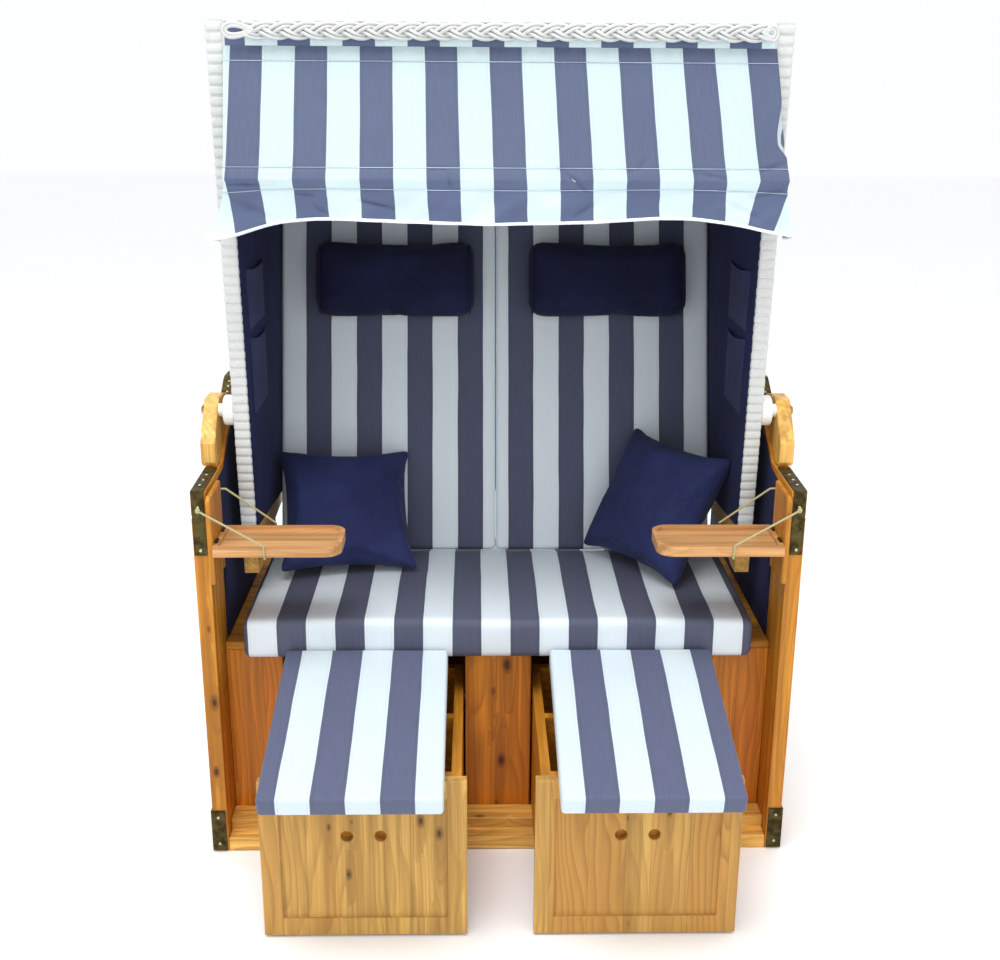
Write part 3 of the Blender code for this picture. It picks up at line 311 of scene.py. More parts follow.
class Recipe:
    """One finish, mixed step by step from shader nodes."""

    def __init__(self, name, cloth=False):
        self.material = bpy.data.materials.new(name)
        self.material.use_nodes = True
        self.tree = self.material.node_tree
        self.shader = self.tree.nodes["Principled BSDF"]
        if cloth:
            self.place = self.out(self.node("ShaderNodeUVMap", uv_map="cloth"), "UV")
        else:
            self.place = self.out(self.node("ShaderNodeTexCoord"), "Object")
        self.axes = self.split(self.place)

    def put(self, value, socket):
        """Set an input to a number or a colour, or lead a wire into it."""
        if isinstance(value, Wire):
            self.tree.links.new(value.socket, socket)
        elif socket.type == "RGBA":
            socket.default_value = (*tuple(value)[:3], 1.0)
        else:
            socket.default_value = value

    def node(self, kind, values=(), **settings):
        """A new node with its settings, and with values at its inputs by number or name."""
        made = self.tree.nodes.new(kind)
        for name, value in settings.items():
            setattr(made, name, value)
        for key, value in dict(values).items():
            self.put(value, made.inputs[key])
        return made

    def out(self, made, key=0):
        return Wire(self, made.outputs[key])

    def split(self, source, kind="ShaderNodeSeparateXYZ"):
        return [Wire(self, socket) for socket in self.node(kind, {0: source}).outputs]

    def maths(self, operation, *values, clamp=False):
        return self.out(self.node("ShaderNodeMath", enumerate(values), operation=operation,
                                  use_clamp=clamp))

    def vector(self, *values):
        return self.out(self.node("ShaderNodeCombineXYZ", enumerate(values)))

    def noise(self, vector, scale, detail=2.0, rough=0.5):
        return self.out(self.node("ShaderNodeTexNoise", {"Vector": vector, "Scale": scale,
                                                         "Detail": detail, "Roughness": rough}), "Fac")

    def drawn(self, place, scales, detail=2.0, rough=0.5):
        """Noise that is drawn out: each part of the place has a scale of its own."""
        return self.noise(self.vector(*(part * scale for part, scale in zip(place, scales))),
                          1.0, detail, rough)

    def step(self, value, low, high):
        """0 below low and 1 above high, with a soft change between. low may be the higher."""
        return self.out(self.node("ShaderNodeMapRange", enumerate((value, low, high, 0.0, 1.0)),
                                  interpolation_type="SMOOTHSTEP"))

    def mix(self, share, first, second):
        return self.out(self.node("ShaderNodeMix", {0: share, 6: first, 7: second},
                                  data_type="RGBA"), 2)

    def layers(self, tone, colour, *coats):
        """A tone under coats of one colour, each with its share, its darkness and its warmth."""
        for share, dark, *warmth in coats:
            tone = self.mix(share, tone, darker(colour, dark, *warmth))
        return tone

    def bump(self, height, distance, strength=1.0):
        made = self.node("ShaderNodeBump", {"Strength": strength, "Distance": distance,
                                            "Height": height})
        self.put(self.out(made), self.shader.inputs["Normal"])

    def done(self, colour, rough, metal=0.0, sheen=0.0, coat=0.0, gloss=0.5):
        for name, value in (("Base Color", colour), ("Roughness", rough), ("Metallic", metal),
                            ("Sheen Weight", sheen), ("Coat Weight", coat),
                            ("Coat Roughness", 0.25), ("Specular IOR Level", gloss)):
            self.put(value, self.shader.inputs[name])
        return self.material


def darker(colour, share, warmth=1.0):
    """A colour at a share of its brightness. A warmth above 1 moves it from blue to red."""
    return (colour[0] * share * warmth, colour[1] * share, colour[2] * share / warmth)


def pine(name, colour, grain, plank=0.0, shift=0.0, knots=1.0, contrast=0.6):
    """Varnished pine: flowing growth rings, streaks, small knots with a flame along the grain
    and, on a wide panel, planks glued side by side. grain is the axis that the fibres follow."""
    mix = Recipe(name)
    order = {"X": (1, 2, 0), "Y": (0, 2, 1), "Z": (0, 1, 2)}[grain]
    a, b, along = (mix.axes[index] for index in order)
    if plank:
        bend = mix.maths("SINE", mix.axes[0] * 71.0 + 1.0)
        count = (bend * (0.13 * plank) + (mix.axes[0] + shift)) / plank
        chance = mix.out(mix.node("ShaderNodeTexWhiteNoise", {"W": mix.maths("FLOOR", count)},
                                  noise_dimensions="1D"), "Value")
        a, b, along = chance * 3.7 + a, chance * 1.11 + b, chance * 5.3 + along
        edge = mix.maths("ABSOLUTE", mix.maths("FRACT", count) - 0.5)
        joint = mix.step(edge, 0.5 - 0.0010 / plank, 0.5 - 0.0004 / plank)
    where = mix.vector(a * 11.0, b * 6.0, along * 6.5)
    cell = mix.node("ShaderNodeTexVoronoi", {"Vector": where, "Scale": 1.0})
    wide, deep, tall = mix.split(mix.out(mix.node(
        "ShaderNodeVectorMath", {0: where, 1: mix.out(cell, "Position")}, operation="SUBTRACT")))
    level = wide * wide + deep * deep * 0.01
    tall = tall * tall
    pick_one, pick_size, _ = mix.split(mix.out(cell, "Color"), "ShaderNodeSeparateColor")
    chosen = mix.step(pick_one, 0.42, 0.44)
    size = mix.maths("POWER", pick_size, 1.6) * 1.15 + 0.42
    near = mix.maths("SQRT", tall * 0.7 + level) / size
    flame_gap = mix.maths("SQRT", tall * 0.045 + level) / size
    knot = mix.step(near, 0.100 * knots, 0.055 * knots) * chosen
    eye = mix.step(near, 0.052 * knots, 0.030 * knots) * chosen
    flame = mix.step(flame_gap, 0.19 * knots + 0.001, 0.05 * knots) * chosen
    ring = mix.maths("FRACT", mix.drawn((a, b, along), (9.0, 9.0, 1.5)) * 13.0
                     + (a * 62.0 + b * 41.0) + flame * 1.6)
    late = mix.maths("POWER", ring, 2.2) * mix.step(ring, 1.0, 0.86)
    streak = mix.drawn((a, b, along), (58.0, 58.0, 1.6), 3.0, 0.62)
    fibre = mix.drawn((a, b, along), (420.0, 420.0, 7.0), 2.0, 0.6)
    patch = mix.noise(mix.place, 5.0)
    tone = mix.mix(mix.step(streak, 0.32, 0.68), darker(colour, 0.60, 1.08),
                   darker(colour, 1.26, 0.97))
    tone = mix.layers(tone, colour, (late * contrast, 0.44, 1.12),
                      (mix.step(fibre, 0.66, 0.42) * 0.22, 0.44, 1.12),
                      (mix.step(patch, 0.40, 0.72) * 0.45, 0.74, 1.08))
    if plank:
        dusky = mix.mix(late, darker(colour, 0.74, 1.20), darker(colour, 0.42, 1.24))
        tone = mix.mix(mix.step(chance, 0.35, 0.85) * 0.75, tone, dusky)
    tone = mix.layers(tone, colour, (flame * 0.55, 0.46, 1.16), (knot * 0.80, 0.26, 1.20),
                      (eye, 0.10, 1.10))
    relief = fibre * 0.5
    if plank:
        tone = mix.layers(tone, colour, (joint * 0.45, 0.30, 1.12))
        relief = relief - joint
    mix.bump(relief, 0.0004, 0.5)
    return mix.done(tone, fibre * 0.2 + 0.34, coat=0.06, gloss=0.28)


def threads(mix, across, along, count, wrinkle):
    """Over-and-under threads, with slow wrinkles below them."""
    weave = mix.maths("SINE", across * count) * mix.maths("SINE", along * count)
    mix.bump(weave * 0.5 + mix.noise(mix.place, wrinkle, 3.0, 0.6) * 3.0, 0.0003, 0.6)
    return weave


def striped(name, shift=0.0, width=None, dark=None, pale=None, cloth=False):
    """Striped canvas. The stripes cross X, or the awning's own cloth map. Below its bow the awning's
    cloth is lightened with painted light on the hanging valance."""
    mix = Recipe(name, cloth)
    width = width or sizes().stripe
    dark = dark or colours().stripe
    pale = pale or colours().pale
    across, along = mix.axes[0], mix.axes[1] if cloth else mix.axes[1] + mix.axes[2]
    slub = mix.drawn((across, along, 0.0), (900.0, 18.0, 1.0), 2.0, 0.6)
    weft = mix.drawn((across, along, 0.0), (14.0, 700.0, 1.0), 2.0, 0.6)
    broad = mix.noise(mix.place, 4.0)
    swing = (mix.noise(mix.place, 9.0, 1.0) - 0.5) * 0.003
    turn = mix.maths("PINGPONG", across + swing + (shift + width * 200), width)
    blue = mix.step(turn, width * 0.5 - 0.0005, width * 0.5 + 0.0005)
    edge = mix.maths("ABSOLUTE", turn - width * 0.5)
    seam = mix.step(mix.maths("ABSOLUTE", edge - 0.0045), 0.0011, 0.0004)
    dark_tone = mix.mix(mix.step(slub, 0.32, 0.72), darker(dark, 0.88), darker(dark, 1.12))
    dark_tone = mix.layers(dark_tone, dark, (weft * 0.2, 1.4),
                           (broad * (0.30 if cloth else 0.25), 0.70), (seam * 0.35, 0.50))
    pale_tone = mix.mix(mix.step(slub, 0.30, 0.75), darker(pale, 0.97), darker(pale, 1.02))
    pale_tone = mix.layers(pale_tone, pale, (broad * 0.14, 0.88), (seam * 0.30, 0.72))
    # Painted light: below the bow the awning's cloth is lightened, standing in for light on the
    # hanging valance.
    if cloth:
        painted_valance_light = mix.step(along, -0.246, -0.264) * 0.9
        dark_tone = mix.layers(dark_tone, dark, (painted_valance_light, 1.36))
        pale_tone = mix.layers(pale_tone, pale, (painted_valance_light, 1.36))
    weave = threads(mix, across, along, 3900.0, 26.0)
    return mix.done(mix.mix(blue, pale_tone, dark_tone), weave * 0.04 + 0.66, sheen=0.06)


def plain_cloth(name, colour, lustre=0.05, count=2600.0):
    """Plain woven cloth with slubs, faint fading and small wrinkles."""
    mix = Recipe(name)
    across, along = mix.axes[0], mix.axes[1] + mix.axes[2]
    slub = mix.drawn((across + along, along, 0.0), (420.0, 60.0, 1.0), 3.0, 0.65)
    broad = mix.noise(mix.place, 7.0, 3.0, 0.55)
    tone = mix.mix(mix.step(slub, 0.30, 0.75), darker(colour, 0.78), darker(colour, 1.45))
    # Painted highlight: the raised crowns of the threads are lightened.
    painted_thread_highlight = mix.maths("MULTIPLY", threads(mix, across, along, count, 34.0), 0.14, clamp=True)
    tone = mix.layers(tone, colour, (mix.step(broad, 0.35, 0.75), 1.75), (painted_thread_highlight, 2.6))
    return mix.done(tone, slub * 0.15 + 0.78, sheen=lustre, gloss=0.2)


def woven_plastic(name, colour, along="Z"):
    """White plastic strand with fine ribs along it, faint yellowing and a little dust."""
    mix = Recipe(name)
    fine = mix.noise(mix.place, 240.0, 3.0, 0.6)
    broad = mix.noise(mix.place, 6.0, 3.0)
    rib = mix.maths("SINE", mix.axes["XYZ".index(along)] * 2900.0)
    tone = mix.layers(colour, colour, (mix.step(broad, 0.30, 0.78), 0.93, 1.015),
                      (mix.step(fine, 0.40, 0.80), 0.86))
    mix.bump(rib * 0.5 + fine, 0.00025, 0.6)
    return mix.done(tone, fine * 0.25 + 0.36, coat=0.1)


def metal(name, colour, tarnish, rough, metallic):
    """Metal with a worn, clouded surface and fine scratches."""
    mix = Recipe(name)
    cloud = mix.noise(mix.place, 70.0, 4.0, 0.6)
    mix.bump(cloud + mix.drawn(mix.axes, (900.0, 60.0, 60.0)), 0.0002, 0.4)
    tone = mix.mix(mix.step(cloud, 0.35, 0.65), colour, tarnish)
    return mix.done(tone, cloud * 0.3 + rough, metal=metallic)


def moulded(name, colour):
    """Moulded plastic with a fine grain and slight soiling."""
    mix = Recipe(name)
    soil = mix.noise(mix.place, 30.0, 3.0, 0.6)
    mix.bump(mix.noise(mix.place, 900.0), 0.0001, 0.5)
    return mix.done(mix.layers(colour, colour, (mix.step(soil, 0.45, 0.80), 0.82, 1.03)),
                    soil * 0.2 + 0.4)


def twisted(name, colour):
    """Twisted cord: slanting strands around a thin line."""
    mix = Recipe(name)
    lay = mix.maths("SINE", mix.axes[0] * 2600.0 + mix.axes[2] * 1500.0)
    mix.bump(lay, 0.0004, 0.8)
    # Painted shade and highlight: the cord is darker in the grooves between its strands and lighter on
    # their crowns.
    return mix.done(mix.mix(mix.step(lay, -0.6, 0.9), darker(colour, 0.6), darker(colour, 1.15)),
                    lay * 0.05 + 0.65)


FINISHES = {}


def add_finish(maker, name, *look, **more):
    """Mix one finish and keep it by its name."""
    FINISHES[name] = maker(name, *look, **more)


def mix_finishes():
    """Every finish of the chair, by name."""
    hue = colours()
    for axis in "XYZ":
        add_finish(pine, "pine_" + axis, hue.pine, axis)
    add_finish(pine, "light_Y", darker(hue.pine_light, 1.27), "Y")
    add_finish(pine, "tray_wood", hue.tray, "X", knots=0.01, contrast=0.35)
    add_finish(pine, "tray_board", darker(hue.pine, 0.86, 1.03), "Z", knots=0.5)
    add_finish(pine, "block_wood", darker(hue.pine_light, 1.55), "Z")
    add_finish(pine, "sill_wood", (0.90, 0.51, 0.115), "X", contrast=0.9)
    add_finish(pine, "drawer_planks", darker(hue.pine_light, 1.02), "Z", plank=0.062, shift=0.031)
    add_finish(pine, "base_planks", darker(hue.pine, 0.98, 1.14), "Z", plank=0.060, contrast=0.85)
    # Painted shade: the back cushions' copy of the striped cloth has a darker blue than the seat's,
    # for the hood's shade on the backrest.
    add_finish(striped, "stripes", dark=(0.062, 0.070, 0.126))
    add_finish(striped, "seat_stripes", 0.0055, 0.0573)
    # The pads' copy of the striped cloth is retoned for how light falls on the pads: its brighter,
    # bluer blue is painted light for the light and glare on their tops, and its dimmer white is
    # painted shade against that strong light.
    for side, shift in (("left", 0.0), ("right", 0.0077)):
        add_finish(striped, side + "_pad_stripes", shift, 0.0591, (0.086, 0.101, 0.180),
                   (0.62, 0.72, 0.77))
    add_finish(striped, "awning_stripes", 0.0495, None, hue.faded, hue.bleached, cloth=True)
    add_finish(plain_cloth, "seam_thread", (0.36, 0.44, 0.50), 0.02, 1800.0)
    add_finish(plain_cloth, "navy", hue.navy)
    # Painted shade: the head cushions take the navy cloth at under half its brightness, for the shade
    # under the hood's roof.
    add_finish(plain_cloth, "head_navy", darker(hue.navy, 0.44))
    add_finish(plain_cloth, "lining", (0.0072, 0.0105, 0.049), 0.02)
    add_finish(plain_cloth, "hem_tape", darker(hue.pale, 0.92), 0.05, 1800.0)
    add_finish(woven_plastic, "strand", hue.weave)
    add_finish(woven_plastic, "braid_cane", darker(hue.weave, 0.96), "Y")
    add_finish(metal, "bronze", (0.105, 0.084, 0.030), (0.044, 0.032, 0.012), 0.38, 0.95)
    add_finish(metal, "screw", (0.62, 0.55, 0.38), (0.40, 0.34, 0.22), 0.25, 0.9)
    add_finish(metal, "copper", (0.62, 0.30, 0.14), (0.30, 0.14, 0.06), 0.25, 0.9)
    add_finish(metal, "steel", (0.62, 0.62, 0.64), (0.42, 0.42, 0.42), 0.22, 1.0)
    add_finish(moulded, "white_plastic", (0.84, 0.84, 0.82))
    add_finish(twisted, "cord", (0.55, 0.52, 0.26))


NODE_FINISHES = {
    "pine_Z": ("front_stile", "rear_stile"),
    "pine_Y": ("bottom_rail", "arm_rail", "footrest_frame"),
    "block_wood": ("pivot_block",),
    "light_Y": ("hood_foot_rail",),
    "drawer_planks": ("footrest_front",),
    "base_planks": ("end_panel",),
    "tray_board": ("tray_mount",),
    "tray_wood": ("tray",),
    "bronze": ("arm_strap", "ridge_strap", "foot_strap"),
    "copper": ("pivot_bolt",),
    "white_plastic": ("pivot_disc",),
    "strand": ("side_infill", "hood_side"),
}
MIDDLE_FINISHES = {"pine_X": ("seat_board", "base_rear_panel"), "sill_wood": ("base_sill",),
                   "base_planks": ("base_centre_panel",), "steel": ("awning_bow",),
                   "strand": ("hood_shell", "top_braid")}


class BEACH_OT_finish_frame(bpy.types.Operator):
    """Give every CAD piece that stays in view its finish"""

    bl_idname = "beach.finish_frame"
    bl_label = "Finish the Frame"

    def execute(self, context):
        mix_finishes()
        named = {side + "_" + part: finish for finish, parts in NODE_FINISHES.items()
                 for part in parts for side, _ in SIDES}
        named.update({part: finish for finish, parts in MIDDLE_FINISHES.items() for part in parts})
        for name, obj in NODES.items():
            chosen = FINISHES[named.get(name, "lining")]
            if not obj.material_slots:
                obj.data.materials.append(chosen)
            for place in obj.material_slots:
                place.material = chosen
        return {"FINISHED"}


def weave_height(along, up, depth=0.0022):
    """How far a woven surface stands out: strands one above the other, over and under stakes."""
    strand = sizes().strand
    row = math.floor(up / strand)
    share = up / strand - row
    round_top = math.sqrt(max(0.0, 1 - (2 * share - 1) ** 2))
    over = math.cos(math.pi * along / sizes().stake) * (1 if row % 2 else -1)
    return depth * (0.62 * round_top + 0.38 * (0.5 + 0.5 * over)) * (0.35 + 0.65 * round_top)


def woven_rows(low, high):
    """Heights at the seam, shoulder and crown of every strand between two heights."""
    strand = sizes().strand
    first = math.ceil(low / strand)
    last = math.floor(high / strand)
    heights = {round(low, 6), round(high, 6)}
    for row in range(first, last + 1):
        for share in (0.0, 0.22, 0.5, 0.78):
            height = (row + share) * strand
            if low < height < high:
                heights.add(round(height, 6))
    return sorted(heights)


def woven_side(name, node, sign, body, inset):
    """A woven skin on one flat face of a side panel, shaped to the panel's own outline."""
    low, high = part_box(node)
    face_x = outer_x(node, sign)
    rows = woven_rows(low[2] + inset, high[2] - inset)
    columns = round((high[1] - low[1]) / sizes().stake * 4)
    points = []
    for height in rows:
        near, far = section(node, height)
        for column in range(columns + 1):
            y = near + inset + (far - near - 2 * inset) * column / columns
            rise = weave_height(y, height)
            edge = min(column, columns - column) == 0 or height in (rows[0], rows[-1])
            points.append((face_x + sign * (0.0001 if edge else 0.0006 + rise), y, height))
    skin = new_mesh(name, points, grid_faces(len(rows), columns + 1, flip=sign < 0))
    return dress(skin, "strand", body)


ROOF_FRONT_Y = 0.127
# From the backrest's face to the hood's rear: cushion, board, woven back, its inset and two gaps.
BACK_DEPTH = 0.050 + 0.012 + 0.025 + 0.002 + 0.0006


def hood_profile(inset, low_z, spacing):
    """The hood's outer line in evenly spaced points with their outward directions, from the
    roof's front edge over the rounded corner and down the back."""
    radius = 0.100
    thick = BACK_DEPTH / math.cos(LEAN)
    z = HOOD_TOP - radius
    back = BACK_FACE_Y + (z - BACK_FACE_Z) * math.tan(LEAN) + thick
    line = back * math.cos(LEAN) - z * math.sin(LEAN)
    y = (line - radius + z * math.sin(LEAN)) / math.cos(LEAN)
    bend = radius - inset
    turn = math.pi / 2 + LEAN
    roof = y - ROOF_FRONT_Y
    end_z = z - bend * math.sin(LEAN)
    down = (end_z - low_z) / math.cos(LEAN)
    total = roof + bend * turn + down
    count = round(total / spacing)
    line = []
    for step in range(count + 1):
        run = total * step / count
        if run <= roof:
            place, out = (ROOF_FRONT_Y + run, HOOD_TOP - inset), (0.0, 1.0)
        elif run <= roof + bend * turn:
            angle = (run - roof) / bend
            out = (math.sin(angle), math.cos(angle))
            place = (y + bend * out[0], z + bend * out[1])
        else:
            rest = run - roof - bend * turn
            out = (math.cos(LEAN), -math.sin(LEAN))
            place = (y + bend * out[0] - rest * math.sin(LEAN),
                     z + bend * out[1] - rest * math.cos(LEAN))
        line.append((run, at(place[0]), place[1], *out))
    return line


class BEACH_OT_weave_hood(bpy.types.Operator):
    """Weave the hood's roof, back and sides, and the sides of the base"""

    bl_idname = "beach.weave_hood"
    bl_label = "Weave the Hood"

    def execute(self, context):
        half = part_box("hood_shell")[1][0] - 0.002
        line = hood_profile(0.0018, 0.603, sizes().strand / 4)
        columns = round(2 * half / sizes().stake * 4)
        points = []
        for number, (run, y, z, out_y, out_z) in enumerate(line):
            for column in range(columns + 1):
                x = -half + 2 * half * column / columns
                edge = column in (0, columns) or number in (0, len(line) - 1)
                rise = 0.0 if edge else 0.0004 + weave_height(x, run)
                points.append((x, y + out_y * rise, z + out_z * rise))
        skin = new_mesh("hood_weave", points, grid_faces(len(line), columns + 1))
        dress(skin, "strand", "hood")
        for side, sign in SIDES:
            woven_side(side + "_hood_weave", side + "_hood_side", sign, "hood", 0.006)
            woven_side(side + "_base_weave", side + "_side_infill", sign, "base", 0.003)
        return {"FINISHED"}


def wrapped_turn(width, depth, height):
    """One turn of flat strip around an edge: a low rounded block, modelled once."""
    put_away_selection()
    bpy.ops.mesh.primitive_cube_add(size=1.0)
    turn = bpy.context.object
    turn.scale = (width, depth, height)
    settle(turn)
    bpy.ops.object.mode_set(mode="EDIT")
    bpy.ops.mesh.select_all(action="SELECT")
    bpy.ops.mesh.bevel(offset=min(height, depth) * 0.24, segments=2, affect="EDGES")
    bpy.ops.object.mode_set(mode="OBJECT")
    smooth(turn, 60)
    return turn


class BEACH_OT_wrap_edges(bpy.types.Operator):
    """Wrap the front edges of the hood's sides in flat strip, turn by turn"""

    bl_idname = "beach.wrap_edges"
    bl_label = "Wrap the Hood's Edges"

    def execute(self, context):
        pitch = sizes().wrap
        for side, sign in SIDES:
            low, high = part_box(side + "_hood_side")
            width = high[0] - low[0]
            turn = wrapped_turn(width + 0.0024, 0.016, pitch * 0.95)
            bottom, top = low[2] + 0.004, high[2] - 0.003
            count = int((top - bottom) / pitch)
            turns = []
            for number in range(count):
                z = bottom + (number + 0.5) * (top - bottom) / count
                y = section(side + "_hood_side", z)[0]
                copy = bpy.data.objects.new(f"{side}_turn_{number}", turn.data.copy())
                bpy.context.scene.collection.objects.link(copy)
                wobble = noise.noise((number * 1.7, sign * 3.1, 0.0))
                tilt = Euler((0.045 * wobble - 0.05, 0.05 * wobble, 0.03 * wobble)).to_matrix()
                place = Vector(((low[0] + high[0]) / 2 + 0.0007 * wobble, y + 0.0062, z))
                copy.data.transform(Matrix.Translation(place) @ tilt.to_4x4())
                turns.append(copy)
            bpy.data.objects.remove(turn, do_unlink=True)
            edge = joined(side + "_wrapped_edge", turns)
            dress(edge, "strand", "hood", 0)
        return {"FINISHED"}


def braid_cane(strand, cane, half, y, z):
    """One cane of the three-strand braid, as a line of points."""
    period = 3 * sizes().braid_pitch
    points = []
    steps = 220
    for step in range(steps + 1):
        x = -half + 0.034 + (2 * half - 0.046) * step / steps
        phase = math.tau * x / period + strand * math.tau / 3
        slope = math.cos(phase)
        lift = math.sin(phase) * 0.0100
        spread = (cane - 0.5) * 0.0064
        out = -0.0040 * math.sin(2 * phase + 0.3)
        points.append((x - spread * 0.85 * slope, y + out, z + lift + spread * 0.90))
    return points


class BEACH_OT_braid_top(bpy.types.Operator):
    """Plait the braid along the hood's top front edge, three strands of two canes"""

    bl_idname = "beach.braid_top"
    bl_label = "Plait the Top Braid"

    def execute(self, context):
        low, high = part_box("top_braid")
        y, z = (low[1] + high[1]) / 2, (low[2] + high[2]) / 2 - 0.0026
        half = high[0] - 0.004
        radius = sizes().cane
        canes = [tube(f"cane_{strand}_{cane}", braid_cane(strand, cane, half, y, z), radius, 8)
                 for strand in range(3) for cane in range(2)]
        first, last = -half + 0.045, half - 0.015
        core = tube("braid_core", [(first + (last - first) * step / 12, y + 0.005, z)
                                   for step in range(13)], 0.0050, 8, 1.3)
        ends = []
        for sign, length in ((-1, 0.027), (1, 0.013)):
            for cane in (0, 1):
                ring = []
                for step in range(29):
                    angle = math.tau * step / 28
                    swell = 0.0165 * math.sin(angle) * abs(math.sin(angle / 2)) ** 1.2
                    ring.append((sign * (half - length - (length - 0.0055 * cane) * math.cos(angle)),
                                 y - 0.0035, z + swell * (1 - 0.42 * cane)))
                ends.append(tube(f"braid_end_{sign}_{cane}", ring, radius, 8, up=(0, 1, 0)))
        braid = joined("plaited_braid", canes + [core] + ends)
        dress(braid, "braid_cane", "hood", 50)
        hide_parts("top_braid")
        return {"FINISHED"}


# The awning's upper edge and its bow, as depth and height.
AWNING_TOP = (0.1235, 1.5518)
AWNING_BAR = (0.0243, 1.330)
AWNING_HEM_Y = 0.034
# Where each side edge folds back into its flap: at the top, at the bow and at the hem.
AWNING_FOLD = {-1: (0.489, 0.4805, 0.525), 1: (0.489, 0.486, 0.5325)}
AWNING_FLAP = 0.070
# The length on the cloth map from the upper edge to the bow, and from the bow to the hem.
CLOTH_STEP = 0.255
SEAM_HEIGHTS = (1.527, 1.350, 1.3125)
# The height of the hem at places across, as x and z.
HEM_LINE = ((-0.560, 1.2270), (-0.515, 1.2262), (-0.488, 1.2280), (-0.460, 1.2350),
            (-0.425, 1.2470), (-0.390, 1.2558), (-0.330, 1.2615), (-0.265, 1.2620),
            (-0.180, 1.2565), (0.000, 1.2537), (0.175, 1.2578), (0.280, 1.2648),
            (0.350, 1.2637), (0.424, 1.2535), (0.478, 1.2410), (0.522, 1.2340), (0.570, 1.2330))
# Each crease runs from one x and z to another, and has a depth and a width.
CREASES = (
    (-0.495, 1.322, -0.395, 1.321, 0.0030, 0.0034),
    (-0.365, 1.308, -0.328, 1.302, 0.0026, 0.0032),
    (-0.332, 1.286, -0.303, 1.269, 0.0026, 0.0040),
    (-0.248, 1.293, -0.190, 1.281, 0.0034, 0.0030),
    (-0.126, 1.343, -0.108, 1.348, 0.0016, 0.0026),
    (-0.108, 1.348, -0.090, 1.342, 0.0016, 0.0026),
    (-0.093, 1.337, -0.088, 1.310, 0.0024, 0.0028),
    (0.103, 1.348, 0.152, 1.309, 0.0026, 0.0032),
    (0.165, 1.291, 0.128, 1.268, 0.0024, 0.0030),
    (0.243, 1.350, 0.254, 1.366, 0.0016, 0.0030),
    (0.216, 1.343, 0.240, 1.347, 0.0014, 0.0026),
    (0.335, 1.344, 0.392, 1.332, 0.0022, 0.0032),
    (0.455, 1.346, 0.500, 1.358, 0.0024, 0.0036),
    (0.440, 1.300, 0.500, 1.318, 0.0026, 0.0050),
    (-0.480, 1.296, -0.405, 1.262, 0.0034, 0.0070),
    (0.395, 1.292, 0.450, 1.268, 0.0030, 0.0060),
)


def ramp(value, low, high):
    """0 below low and 1 above high, with a soft change between."""
    share = max(0.0, min(1.0, (value - low) / (high - low)))
    return share * share * (3 - 2 * share)


def line_height(line, x):
    """The height of a line through points given by x and height, with its corners eased."""
    total = 0.0
    for shift in (-0.02, 0.0, 0.0, 0.02):
        place = max(line[0][0], min(line[-1][0], x + shift))
        for (x0, z0), (x1, z1) in zip(line, line[1:]):
            if x0 <= place <= x1:
                total += z0 + (z1 - z0) * (place - x0) / (x1 - x0)
                break
    return total / 4


def bump_at(value, place, width):
    """1 at a place and 0 away from it."""
    return math.exp(-((value - place) / width) ** 2)


def creased(x, z):
    """How far the awning's creases press it back at a point."""
    total = 0.0
    for x0, z0, x1, z1, depth, width in CREASES:
        run_x, run_z = x1 - x0, z1 - z0
        share = ((x - x0) * run_x + (z - z0) * run_z) / (run_x ** 2 + run_z ** 2)
        share = max(0.0, min(1.0, share))
        gap = math.hypot(x - x0 - run_x * share, z - z0 - run_z * share)
        total += 1.9 * depth * bump_at(gap, 0.0, width) * (1 - 0.5 * abs(2 * share - 1))
    return total


def awning_point(across, down):
    """A point of the awning and its cloth coordinates. across is -1 to 1 over the front, and past
    that along the side flaps. down is 0 at the top, 1 at the bow and 2 at the hem."""
    share = min(down, 1.0)
    below = max(0.0, down - 1.0)
    sign = -1 if across < 0 else 1
    side = max(0.0, abs(across) - 1.0)
    top, bar, hem = AWNING_FOLD[sign]
    fold = top + (bar - top) * share + (hem - bar) * below ** 1.5
    cloth = max(-1.0, min(1.0, across)) * fold
    x = cloth * (1 + 0.0225 * share) + 0.0075 * share
    x += below * (0.0025 + 0.0085 * ramp(-cloth, 0.36, 0.46) - 0.0295 * ramp(cloth, 0.37, 0.48))
    y = AWNING_TOP[0] + (AWNING_BAR[0] - AWNING_TOP[0]) * share
    z = AWNING_TOP[1] + (AWNING_BAR[1] - AWNING_TOP[1]) * share
    z += (line_height(HEM_LINE, x) - z) * below
    y += (AWNING_HEM_Y - AWNING_BAR[0]) * math.sin(below * 1.5)
    taut = math.sin(math.pi * share)
    y += 0.003 * taut + noise.noise((x * 5.0, 1.5, z * 6.0)) * 0.004 * taut
    y += noise.noise((x * 9.0, 7.0, z * 3.0)) * 0.003 * share
    hang = min(1.0, below * 1.6)
    y += (noise.noise((x * 8.0 + z * 7.0, 3.0, z * 5.0)) * 0.013
          + noise.noise((x * 21.0 - z * 24.0, 9.0, z * 11.0)) * 0.006) * hang
    y += 0.0016 * sum(bump_at(z, height, 0.0022) for height in SEAM_HEIGHTS if down < 1.6)
    y += creased(x, z) - 0.0030 * bump_at(z, AWNING_BAR[1] + 0.004, 0.015)
    tuck = ramp(z, 1.366, 1.392) * ramp(-z, -1.470, -1.400) if sign > 0 else 0.0
    x -= 0.014 * tuck * ramp(cloth, 0.440, 0.486)
    if side > 0:
        run = side * AWNING_FLAP * max(0.12, share) * (1 - 0.25 * below)
        curl = noise.noise((sign * 4.0, side * 3.0, z * 13.0))
        y += run * (1 - 0.35 * tuck)
        bend = 0.010 * side * side * share * (1 - tuck)
        x += sign * (0.004 * curl * side + 0.016 * tuck * min(1.0, side * 2) - bend)
        z -= 0.010 * side * below
        cloth += sign * (run + 0.050 * tuck * min(1.0, side * 5))
    return (x, at(y), z), (cloth, -down * CLOTH_STEP)


